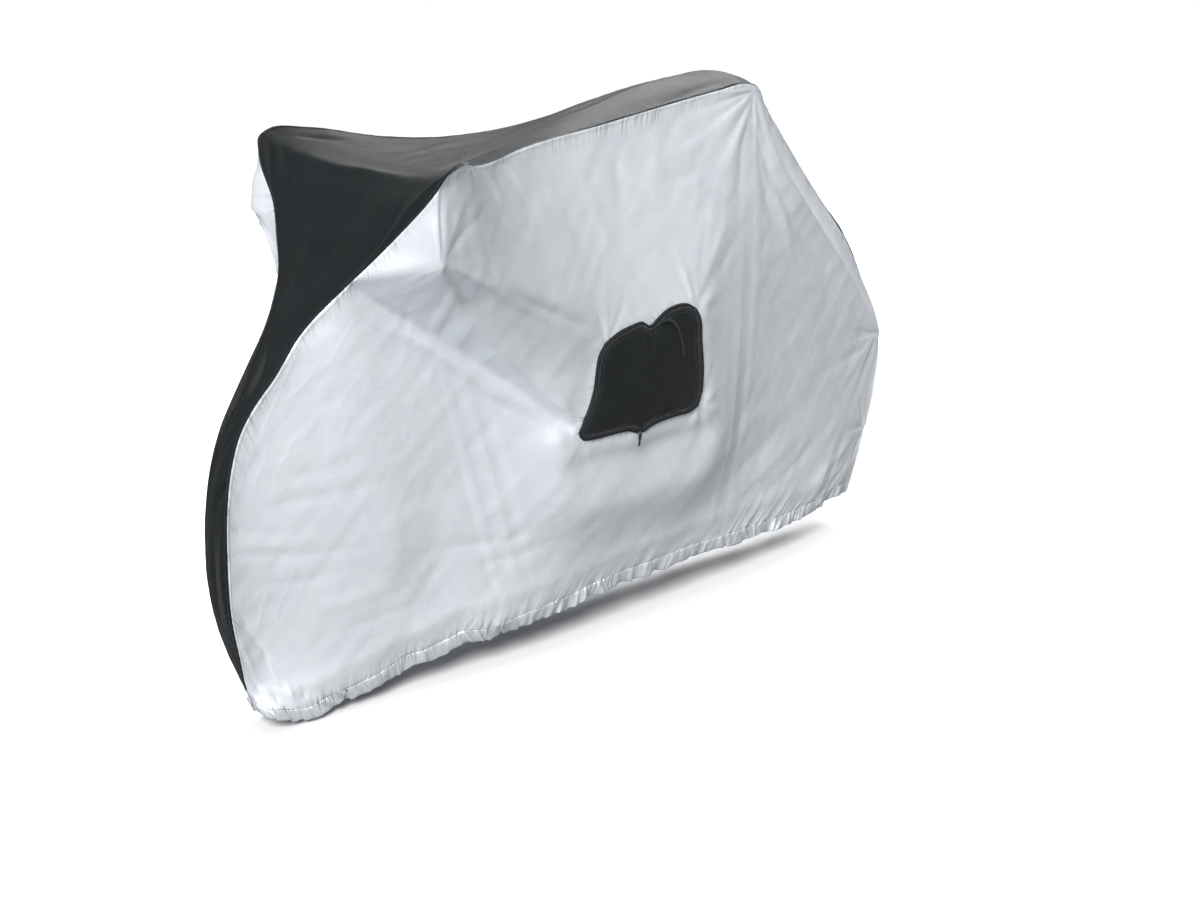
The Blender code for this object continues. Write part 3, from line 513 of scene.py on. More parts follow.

# %% [markdown]
# The creases of the near panel are read off and chalked in. Most of
# them run from the bar end, which pushes a sharp knuckle into the cloth, from
# the saddle's back corner, from the kink over the rear wheel, and from the
# corners of the pocket. The lower front is nearly flat, with long soft waves.

# %% Creases of the near panel
KNUCKLE = (-0.548, 0.806)       # bar end
KINK = (0.828, 0.411)           # rear wheel
SADDLE = (0.33, 0.985)          # saddle's back corner
POCKET_CORNERS = ((-0.122, 0.59), (0.108, 0.61), (0.116, 0.426), (-0.18, 0.424))
NEAR_CREASES = (
    # round the knuckle
    ((KNUCKLE, (-0.563, 0.855), (-0.568, 0.898)), 0.002, 0.003, 0.008, 0.6, 1.2),
    ((KNUCKLE, (-0.554, 0.88), (-0.556, 0.935)), -0.0026, 0.003, 0.01, 0.65, 1.3),
    ((KNUCKLE, (-0.496, 0.854), (-0.447, 0.877), (-0.374, 0.914)), -0.0016, 0.004, 0.022, 0.28, 1.5),
    ((KNUCKLE, (-0.515, 0.88), (-0.5, 0.935)), 0.0016, 0.004, 0.018, 0.55, 1.5),
    ((KNUCKLE, (-0.451, 0.745), (-0.358, 0.689), (-0.246, 0.627), (-0.146, 0.579)),
     -0.003, 0.003, 0.013, 0.35, 1.3),
    ((KNUCKLE, (-0.47, 0.768), (-0.3, 0.678)), 0.0022, 0.003, 0.01, 0.4, 1.3),
    (((-0.52, 0.797), (-0.42, 0.74), (-0.252, 0.664), (-0.128, 0.596)),
     -0.0056, 0.008, 0.012, 0.7, 1.5),
    (((-0.636, 0.742), (-0.57, 0.691), (-0.477, 0.629), (-0.367, 0.546), (-0.23, 0.453)),
     0.0046, 0.007, 0.011, 0.45, 1.4),
    (((-0.42, 0.56), (-0.389, 0.535), (-0.31, 0.492), (-0.225, 0.438)), -0.002, 0.006, 0.01, 0.55, 1.4),
    (((-0.3, 0.52), (-0.25, 0.5), (-0.17, 0.48)), 0.0012, 0.006, 0.01, 0.6, 1.4),
    (((-0.33, 0.6), (-0.25, 0.555), (-0.16, 0.53)), -0.0012, 0.006, 0.012, 0.6, 1.5),
    # under the top seam
    (((-0.42, 0.94), (-0.395, 0.905), (-0.34, 0.8)), -0.002, 0.01, 0.02, 0.25, 1.7),
    (((-0.345, 0.935), (-0.32, 0.87), (-0.28, 0.78)), 0.0014, 0.01, 0.022, 0.3, 1.7),
    (((-0.3, 0.925), (-0.28, 0.846), (-0.255, 0.74)), -0.0017, 0.008, 0.02, 0.3, 1.6),
    (((-0.215, 0.9), (-0.17, 0.79), (-0.12, 0.69)), -0.0014, 0.012, 0.022, 0.45, 1.8),
    (((-0.14, 0.93), (-0.11, 0.82), (-0.06, 0.68)), 0.0012, 0.014, 0.022, 0.4, 1.8),
    (((-0.027, 0.94), (-0.037, 0.838), (-0.06, 0.72)), -0.0012, 0.008, 0.022, 0.3, 1.7),
    (((0.08, 0.95), (0.06, 0.86), (0.03, 0.76)), 0.0009, 0.01, 0.024, 0.3, 1.8),
    (((0.26, 0.88), (0.133, 0.846), (0.0, 0.85)), -0.0012, 0.012, 0.016, 0.45, 1.6),
    (((0.23, 0.92), (0.12, 0.89), (0.03, 0.9)), 0.0008, 0.01, 0.014, 0.45, 1.6),
    # under the saddle's corner
    ((SADDLE, (0.289, 0.891), (0.276, 0.81), (0.262, 0.69)), -0.002, 0.005, 0.02, 0.35, 1.5),
    ((SADDLE, (0.253, 0.863), (0.205, 0.74)), 0.0012, 0.005, 0.022, 0.45, 1.6),
    ((SADDLE, (0.24, 0.9), (0.17, 0.83)), -0.0012, 0.004, 0.016, 0.4, 1.5),
    (((0.325, 0.968), (0.332, 0.901), (0.371, 0.82), (0.446, 0.73), (0.552, 0.631), (0.674, 0.52),
      (0.8, 0.422)), -0.005, 0.008, 0.02, 0.3, 1.6),
    (((0.328, 0.94), (0.335, 0.85), (0.39, 0.7), (0.43, 0.6)), -0.002, 0.006, 0.022, 0.35, 1.6),
    (((0.345, 0.86), (0.394, 0.782), (0.465, 0.64)), 0.0032, 0.008, 0.02, 0.6, 1.7),
    # from the pocket's rear top corner
    ((POCKET_CORNERS[1], (0.216, 0.743), (0.277, 0.86)), 0.0014, 0.004, 0.016, 0.35, 1.4),
    ((POCKET_CORNERS[1], (0.16, 0.74), (0.19, 0.86)), -0.0011, 0.004, 0.018, 0.3, 1.5),
    ((POCKET_CORNERS[1], (0.23, 0.69), (0.36, 0.79)), -0.0012, 0.004, 0.02, 0.35, 1.5),
    # lower front
    (((-0.84, 0.334), (-0.709, 0.305), (-0.603, 0.297), (-0.48, 0.31)),
     -0.0017, 0.005, 0.014, 0.08, 1.4),
    (((-0.838, 0.352), (-0.74, 0.328), (-0.62, 0.325)), 0.0011, 0.006, 0.014, 0.1, 1.6),
    (((-0.836, 0.378), (-0.76, 0.352), (-0.66, 0.35)), -0.0014, 0.005, 0.012, 0.08, 1.5),
    (((-0.8, 0.4), (-0.709, 0.403), (-0.62, 0.401), (-0.5, 0.415)), -0.0015, 0.01, 0.016, 0.3, 1.8),
    (((-0.78, 0.45), (-0.68, 0.445), (-0.56, 0.46)), -0.0011, 0.012, 0.016, 0.4, 1.8),
    (((-0.82, 0.27), (-0.7, 0.258), (-0.58, 0.262)), -0.0014, 0.008, 0.014, 0.25, 1.7),
    (((-0.5, 0.25), (-0.451, 0.255), (-0.31, 0.244), (-0.2, 0.27)), -0.0017, 0.01, 0.014, 0.45, 1.6),
    (((-0.42, 0.205), (-0.282, 0.208), (-0.16, 0.235)), -0.0013, 0.01, 0.014, 0.5, 1.7),
    (((-0.7, 0.14), (-0.56, 0.16), (-0.42, 0.165)), -0.0012, 0.012, 0.016, 0.5, 1.8),
    (((-0.74, 0.2), (-0.6, 0.205), (-0.48, 0.215)), 0.0011, 0.012, 0.018, 0.5, 1.8),
    (((-0.836, 0.255), (-0.808, 0.19), (-0.78, 0.146), (-0.757, 0.07)),
     -0.0028, 0.006, 0.009, 0.55, 1.4),
    (((-0.842, 0.24), (-0.824, 0.18), (-0.8, 0.12), (-0.778, 0.06)), 0.0016, 0.005, 0.008, 0.55, 1.4),
    (((-0.8, 0.16), (-0.77, 0.12), (-0.745, 0.05)), 0.001, 0.005, 0.008, 0.6, 1.4),
    (((-0.806, 0.11), (-0.79, 0.08), (-0.782, 0.04)), -0.0026, 0.003, 0.006, 0.6, 1.2),
    (((-0.775, 0.085), (-0.764, 0.06), (-0.757, 0.035)), -0.0022, 0.003, 0.006, 0.6, 1.2),
    (((-0.748, 0.09), (-0.738, 0.062), (-0.735, 0.038)), 0.0018, 0.003, 0.006, 0.6, 1.2),
    (((-0.722, 0.078), (-0.716, 0.058), (-0.714, 0.036)), -0.002, 0.003, 0.006, 0.6, 1.2),
    (((-0.366, 0.125), (-0.38, 0.085), (-0.39, 0.06)), -0.0022, 0.004, 0.006, 0.7, 1.1),
    # lower rear
    (((0.1, 0.23), (0.218, 0.289), (0.325, 0.331), (0.48, 0.38)), 0.0016, 0.014, 0.024, 0.45, 1.8),
    (((0.09, 0.15), (0.194, 0.189), (0.436, 0.286), (0.62, 0.345)), -0.002, 0.016, 0.028, 0.5, 1.8),
    (((0.18, 0.13), (0.38, 0.205), (0.6, 0.285)), 0.0013, 0.012, 0.02, 0.5, 1.7),
    (((0.3, 0.12), (0.48, 0.185), (0.7, 0.28)), -0.0012, 0.012, 0.016, 0.5, 1.6),
    (((0.52, 0.105), (0.619, 0.151), (0.702, 0.172), (0.775, 0.215)), 0.002, 0.01, 0.014, 0.6, 1.7),
    (((0.56, 0.085), (0.635, 0.1), (0.709, 0.13), (0.757, 0.165)), -0.0016, 0.008, 0.01, 0.6, 1.6),
    (((0.796, 0.2), (0.77, 0.209), (0.7, 0.215)), -0.0022, 0.003, 0.012, 0.15, 1.3),
    (((0.797, 0.203), (0.78, 0.235), (0.76, 0.3)), -0.002, 0.003, 0.01, 0.2, 1.3),
    (((0.792, 0.19), (0.765, 0.16), (0.745, 0.11)), -0.0018, 0.003, 0.008, 0.25, 1.3),
    ((KINK, (0.76, 0.385), (0.65, 0.38), (0.5, 0.36)), -0.0014, 0.003, 0.018, 0.2, 1.4),
    ((KINK, (0.76, 0.36), (0.66, 0.32)), 0.0018, 0.003, 0.016, 0.3, 1.4),
    ((KINK, (0.79, 0.35), (0.74, 0.27)), -0.002, 0.003, 0.014, 0.3, 1.4),
    ((KINK, (0.76, 0.43), (0.64, 0.47)), -0.0012, 0.003, 0.02, 0.2, 1.4),
)
print("creases chalked on the near panel:", len(NEAR_CREASES))

# %% [markdown]
# Between the chalked creases the cloth has its own small life. Coated taffeta
# keeps fine crumples from its bag, the seams pucker it because the thread is
# tighter than the cloth, and the elastic gathers it above the hem. Puckers and
# gathers stand square to their edge and die out away from it.

# %% Crumples, puckers and gathers
def normals(grid, outwards):
    """Unit normals of a grid, from its differences both ways, on the side where
    the vector outwards points."""
    n = unit(np.cross(np.gradient(grid, axis=0), np.gradient(grid, axis=1)))
    return n * np.sign(np.sum(n * outwards, axis=2).mean())


def column_lengths(grid):
    """Distance of every point of a grid from its column's first point."""
    step = np.linalg.norm(np.diff(grid, axis=1), axis=2)
    return np.concatenate((np.zeros((len(grid), 1)), np.cumsum(step, axis=1)), axis=1)


def crinkle(x, z, seed):
    """Creasing that coated taffeta keeps from its bag: fine slanted fields, and
    narrow crests where another field shows them."""
    out = 0.00055 * field(x, z, 0.02, 0.085, 48, seed)
    out += 0.00045 * field(x, z, 0.016, 0.07, -52, seed + 1)
    out += 0.0005 * field(x, z, 0.03, 0.06, 15, seed + 2)
    show = np.clip(field(x, z, 0.1, 0.14, 30, seed + 3) * 1.6, 0, 1)
    out += 0.0005 * show * ridged(field(x, z, 0.026, 0.052, 62, seed + 4))
    show = np.clip(field(x, z, 0.12, 0.12, 0, seed + 5) * 1.6, 0, 1)
    out -= 0.0005 * show * ridged(field(x, z, 0.024, 0.06, -38, seed + 6))
    return out


def seam_puckers(s, d, seed):
    """Gathers that stand square to a seam: a waver along it, stronger in places,
    rising over a few millimetres and dying out over a few centimetres."""
    strength = 0.35 + 0.65 * patches(s, 0.11, seed)
    lean = s + 0.35 * d * waver(s, 0.25, seed + 1)
    ripple = waver(lean, 0.011, seed + 2) * 0.6 + waver(lean, 0.023, seed + 3) * 0.8
    reach = 0.012 + 0.016 * patches(s, 0.07, seed + 4)
    return strength * ripple * (1 - np.exp(-(d / 0.004) ** 2)) * np.exp(-d / reach)


def seam_roll(d):
    """Cloth turned under at a seam: a low roll 3.5 mm from it."""
    return np.exp(-((d - 0.0035) / 0.0024) ** 2)


def hem_gathers(s, up, seed):
    """Gathers that the elastic draws above the stitch line: a waver along the
    hem that leans as it rises and dies out over a few centimetres."""
    lean = s - up * (0.45 + 0.3 * waver(s, 0.2, seed))
    ripple = waver(lean, 0.011, seed + 1) * 0.5 + pinched(lean, 0.028, seed + 2) * 0.7
    strength = 0.45 + 0.55 * patches(s, 0.13, seed + 3)
    reach = 0.016 + 0.02 * patches(s, 0.05, seed + 4)
    return strength * ripple * np.exp(-up / reach)


print("gathers 5 mm over the hem range over %.2f" % np.ptp(hem_gathers(AT, 0.005, 41)))

# %% [markdown]
# The folded panel is its tight form, moved along its normals by the sum of all
# these heights. The creases die out at seam and hem, which are sewn flat.

# %% Folding a panel
FOLD_DEPTH = 1.4                # all chalked heights are read shallow; this deepens them
SEAM_PUCKER = 0.0017            # heights of the small folds, in metres
HEM_GATHER = 0.0034
SEAM_ROLL, HOOD_ROLL = 0.0009, 0.0024
HEM_TUCK, HEM_SWELL = 0.007, 0.002      # the elastic draws the hem in, and the cloth above it swells
HOOD_EDGE, HOOD_REACH = KNOTS[14] + 0.03, 0.05    # where the hood's edge is rolled thickest


def at_hood(s):
    """Bell along the near seam that is 1 where the hood's edge is rolled."""
    return np.exp(-((s - HOOD_EDGE) / HOOD_REACH) ** 2)


def folded_panel(form, rows, pulls, far, seed, calm=None):
    """Panel with all its folds: the tight form moved along its normals by the
    chalked creases, the fans, the crinkle, the seam's and the hem's gathers.
    Where calm is near 1, as under the pocket, the cloth stays flat."""
    side = np.array([0.0, 1.0 if far else -1.0, 0.0])
    n = normals(form, side)
    x, z = form[..., 0], form[..., 2]
    down = column_lengths(form)
    up = down[:, -1:] - down
    s = np.broadcast_to(AT[:, None], x.shape)
    hem_s = np.broadcast_to(lengths_along(form[:, -1])[:, None], x.shape)
    depth = FOLD_DEPTH * (creases(form[..., ::2], rows) + pulled(x, z, pulls, seed + 50))
    depth += crinkle(x, z, seed)
    depth = depth * np.clip(down / 0.01, 0, 1) * np.clip(up / 0.012, 0, 1)
    if calm is not None:
        depth = depth * (1 - calm)
    depth += SEAM_PUCKER * seam_puckers(s, down, seed + 20)
    depth += (SEAM_ROLL - HOOD_ROLL * at_hood(s)) * seam_roll(down)
    depth += HEM_GATHER * hem_gathers(hem_s, up, seed + 30)
    depth -= HEM_TUCK * np.exp(-up / 0.02) - HEM_SWELL * np.exp(-((up - 0.05) / 0.02) ** 2)
    ends = np.clip(down[:, -1:] / 0.1, 0, 1)
    return form + n * (depth * ends)[..., None]


print("1 mm in the table is %.1f mm on the cloth" % FOLD_DEPTH)

# %% [markdown]
# The pocket is cut as a shaped patch. Its outline is four edges, corner to
# corner; the near panel stays flat under it and wrinkles just outside it, where
# the stiff pocket pulls on the thin cloth.

# %% The pocket's outline
POUCH_TOP = ((-0.128, 0.588), (-0.098, 0.602), (-0.063, 0.609), (-0.031, 0.611),
             (-0.012, 0.601), (0.003, 0.609), (0.024, 0.62), (0.056, 0.627),
             (0.086, 0.625), (0.11, 0.612))
POUCH_REAR = ((0.11, 0.612), (0.121, 0.594), (0.125, 0.55), (0.13, 0.48),
              (0.127, 0.45), (0.112, 0.422))
POUCH_FOOT = ((-0.1865, 0.425), (-0.178, 0.4165), (-0.162, 0.414), (-0.11, 0.414),
              (-0.074, 0.413), (-0.043, 0.404), (-0.016, 0.411), (0.049, 0.415),
              (0.09, 0.415), (0.112, 0.422))
POUCH_FRONT = ((-0.128, 0.588), (-0.141, 0.57), (-0.148, 0.545), (-0.154, 0.508),
               (-0.168, 0.472), (-0.184, 0.446), (-0.1895, 0.434), (-0.1865, 0.425))
POUCH_ACROSS, POUCH_DOWN = 150, 104     # cells of its grid
CALM_EDGE = 0.008                       # over this width the panel turns from wrinkled to flat


def resampled(points, count):
    """Even steps along a smooth line through a few points."""
    points = np.asarray(points, float)
    knots = lengths_along(points)
    at = np.linspace(0, knots[-1], count + 1)
    return np.stack([curve(knots, axis, at) for axis in points.T], axis=1)


def pouch_ring():
    """The outline as one closed line, clockwise in side view from the top left."""
    top, rear = resampled(POUCH_TOP, 90), resampled(POUCH_REAR, 60)
    foot, front = resampled(POUCH_FOOT, 90), resampled(POUCH_FRONT, 60)
    return np.concatenate([top[:-1], rear[:-1], foot[::-1][:-1], front[::-1]])


def inside(x, z, ring):
    """Whether points lie inside a closed line: a ray to the right crosses it an
    odd number of times."""
    odd = np.zeros(x.shape, bool)
    for (x0, z0), (x1, z1) in zip(ring[:-1], ring[1:]):
        if z0 != z1:
            odd ^= ((z0 > z) != (z1 > z)) & (x < x0 + (z - z0) * (x1 - x0) / (z1 - z0))
    return odd


RING = pouch_ring()
ring_off, ring_at = line_distance(near_form[..., ::2], RING[::5])
ring_off = np.where(inside(near_form[..., 0], near_form[..., 2], RING), -ring_off, ring_off)
near_calm = np.clip(0.5 - ring_off / CALM_EDGE, 0, 1)
print("pocket outline %.3f m round" % lengths_along(RING)[-1])

# %% [markdown]
# Now each panel is folded. The far panel hangs the same way, with its own
# creases from the bar end to the pedal, and with other seeds.

# %% Both side panels with their folds
NEAR_PULLS = ((KNUCKLE, 0.03, 0.3, 0.0004), (SADDLE, 0.05, 0.12, 0.0014),
              (KINK, 0.045, 0.14, 0.0016), (POCKET_CORNERS[0], 0.022, 0.22, 0.0014),
              (POCKET_CORNERS[1], 0.026, 0.2, 0.002), (POCKET_CORNERS[2], 0.024, 0.22, 0.0016),
              (POCKET_CORNERS[3], 0.026, 0.22, 0.0009))
FAR_PULLS = (((-0.572, 0.835), 0.05, 0.18, 0.0036), (SADDLE, 0.04, 0.16, 0.0026),
             (KINK, 0.04, 0.22, 0.0028), ((0.15, 0.28), 0.05, 0.2, 0.003))
FAR_CREASES = (
    (((-0.572, 0.835), (-0.48, 0.76), (-0.3, 0.64), (-0.1, 0.56)), -0.0055, 0.004, 0.022, 0.3, 1.4),
    (((-0.572, 0.835), (-0.5, 0.86), (-0.4, 0.905)), -0.006, 0.004, 0.022, 0.35, 1.4),
    (((-0.572, 0.835), (-0.563, 0.88), (-0.556, 0.935)), -0.0045, 0.003, 0.012, 0.6, 1.4),
    (((-0.64, 0.74), (-0.48, 0.6), (-0.3, 0.47), (-0.1, 0.36)), 0.005, 0.008, 0.02, 0.5, 1.7),
    (((-0.6, 0.66), (-0.44, 0.53), (-0.28, 0.41)), -0.0045, 0.008, 0.018, 0.5, 1.6),
    (((-0.42, 0.73), (-0.2, 0.6), (0.02, 0.43)), -0.0035, 0.008, 0.02, 0.5, 1.7),
    (((-0.3, 0.93), (-0.27, 0.83), (-0.21, 0.7)), -0.004, 0.01, 0.024, 0.35, 1.7),
    (((-0.12, 0.93), (-0.09, 0.82), (-0.02, 0.64)), -0.0034, 0.01, 0.024, 0.4, 1.7),
    (((0.06, 0.95), (0.07, 0.84), (0.12, 0.62)), -0.0034, 0.01, 0.026, 0.4, 1.7),
    ((SADDLE, (0.27, 0.86), (0.22, 0.64), (0.17, 0.42)), -0.0055, 0.005, 0.026, 0.35, 1.6),
    ((SADDLE, (0.3, 0.84), (0.29, 0.6)), 0.0035, 0.005, 0.024, 0.45, 1.7),
    (((0.325, 0.96), (0.4, 0.79), (0.56, 0.61), (0.8, 0.415)), -0.0065, 0.006, 0.016, 0.35, 1.5),
    (((0.15, 0.3), (0.32, 0.34), (0.52, 0.37), (0.81, 0.4)), -0.005, 0.012, 0.02, 0.5, 1.7),
    (((0.15, 0.26), (0.3, 0.23), (0.5, 0.24)), 0.004, 0.01, 0.024, 0.3, 1.7),
    (((0.14, 0.3), (0.06, 0.22), (0.02, 0.11)), -0.0045, 0.008, 0.022, 0.35, 1.6),
    (((0.16, 0.27), (0.23, 0.18), (0.26, 0.11)), -0.0042, 0.008, 0.02, 0.35, 1.6),
    (((0.12, 0.29), (-0.1, 0.23), (-0.3, 0.2)), -0.0045, 0.008, 0.024, 0.3, 1.7),
    (((-0.84, 0.34), (-0.7, 0.32), (-0.52, 0.33)), -0.0044, 0.006, 0.016, 0.15, 1.5),
    (((-0.83, 0.42), (-0.7, 0.43), (-0.56, 0.47)), -0.0034, 0.008, 0.018, 0.2, 1.7),
    (((-0.82, 0.26), (-0.68, 0.24), (-0.52, 0.24)), 0.0032, 0.008, 0.018, 0.25, 1.7),
    (((-0.7, 0.13), (-0.52, 0.15), (-0.38, 0.17)), -0.0034, 0.01, 0.018, 0.5, 1.8),
    (((0.54, 0.11), (0.64, 0.16), (0.74, 0.25)), -0.005, 0.01, 0.016, 0.5, 1.6),
    (((0.81, 0.23), (0.72, 0.25), (0.56, 0.3)), -0.0038, 0.006, 0.018, 0.25, 1.6),
)


def pocket_puckers(off, at, seed):
    """Short wrinkles that stand square to the pocket's edge, just outside it."""
    ripple = waver(at, 0.012, seed) + 0.7 * waver(at, 0.026, seed + 1)
    strength = np.clip(0.35 + waver(at, 0.09, seed + 2), 0, 1)
    gap = np.maximum(off - 0.002, 0)
    return strength * ripple * np.clip(gap / 0.004, 0, 1) * np.exp(-gap / 0.014)


POCKET_PUCKER = 0.0011
near_cloth = folded_panel(near_form, NEAR_CREASES, NEAR_PULLS, False, 11, near_calm)
near_out = normals(near_form, np.array([0.0, -1.0, 0.0]))
ring_way = ring_at * lengths_along(RING)[-1]
near_cloth += near_out * (POCKET_PUCKER * pocket_puckers(ring_off, ring_way, 71))[..., None]
far_cloth = folded_panel(far_form, FAR_CREASES, FAR_PULLS, True, 211)
print("panels folded:", near_cloth.shape, far_cloth.shape)

# %% [markdown]
# The hem is a casing: the edge is folded under, stitched, and an elastic cord
# runs inside it. So below the stitch line the cloth goes down, round the edge
# and up again inside, and the elastic draws it in and crowds it into small
# ruffles that lean this way and that.

# %% Hem casing
def hem_casing(cloth, hem, far, seed):
    """Casing rows under the stitch line. With t from 0 to 1 round the fold, a
    point goes down by depth (1 - cos 2 pi t) / 2 and out by bulge sin 2 pi t.
    Pinched ruffles, their lean and sway, and the pull inwards grow with the
    depth, and all of them die out at the hem's two ends."""
    stitch = cloth[:, -1]
    drop = hem - stitch
    down = unit(drop)
    along = unit(np.gradient(stitch, axis=0))
    out = unit(np.cross(along, down))
    out *= np.sign(np.sum(out[:, 1])) * (1 if far else -1)
    s = lengths_along(stitch)
    depth = np.minimum(np.linalg.norm(drop, axis=1), HEM_DEPTH)
    depth = depth * (0.96 + 0.12 * waver(s, 0.03, seed) + 0.06 * waver(s, 0.012, seed + 1))
    bulge = 0.0026 + 0.0012 * waver(s, 0.018, seed + 2)
    calm = np.clip(np.minimum(s, s[-1] - s) / 0.07, 0, 1)
    sway = 0.003 * calm * waver(s, 0.016, seed + 5)
    t = np.linspace(0, 1, CASING + 1)[1:]
    t = np.where(t == 1, 0.97, t)
    fall = (1 - np.cos(2 * math.pi * t)) / 2
    lean = s[:, None] + 0.022 * waver(s, 0.06, seed + 6)[:, None] * fall
    ruffle = 0.0028 * pinched(lean, 0.013, seed + 3) + 0.0042 * pinched(lean, 0.027, seed + 4)
    share = (depth[:, None] * fall)[..., None]
    thick = bulge[:, None] * np.sin(2 * math.pi * t) + calm[:, None] * (
        ruffle * fall ** 0.6 - 0.0065 * fall)
    return (stitch[:, None] + down[:, None] * share + out[:, None] * thick[..., None]
            + along[:, None] * (sway[:, None] * fall)[..., None])


near_casing = hem_casing(near_cloth, near_hem, False, 91)
far_casing = hem_casing(far_cloth, far_hem, True, 291)
near_grid = np.concatenate([near_cloth, near_casing], axis=1)
far_grid = np.concatenate([far_cloth, far_casing], axis=1)
print("panels with hems:", near_grid.shape, far_grid.shape)

# %% [markdown]
# The centre band's folds are chalked in space, because it turns from upright at the
# front to flat on top. The sharpest run from the hood's two corners down the
# front, and one broad roll lies across it from bar end to bar end.

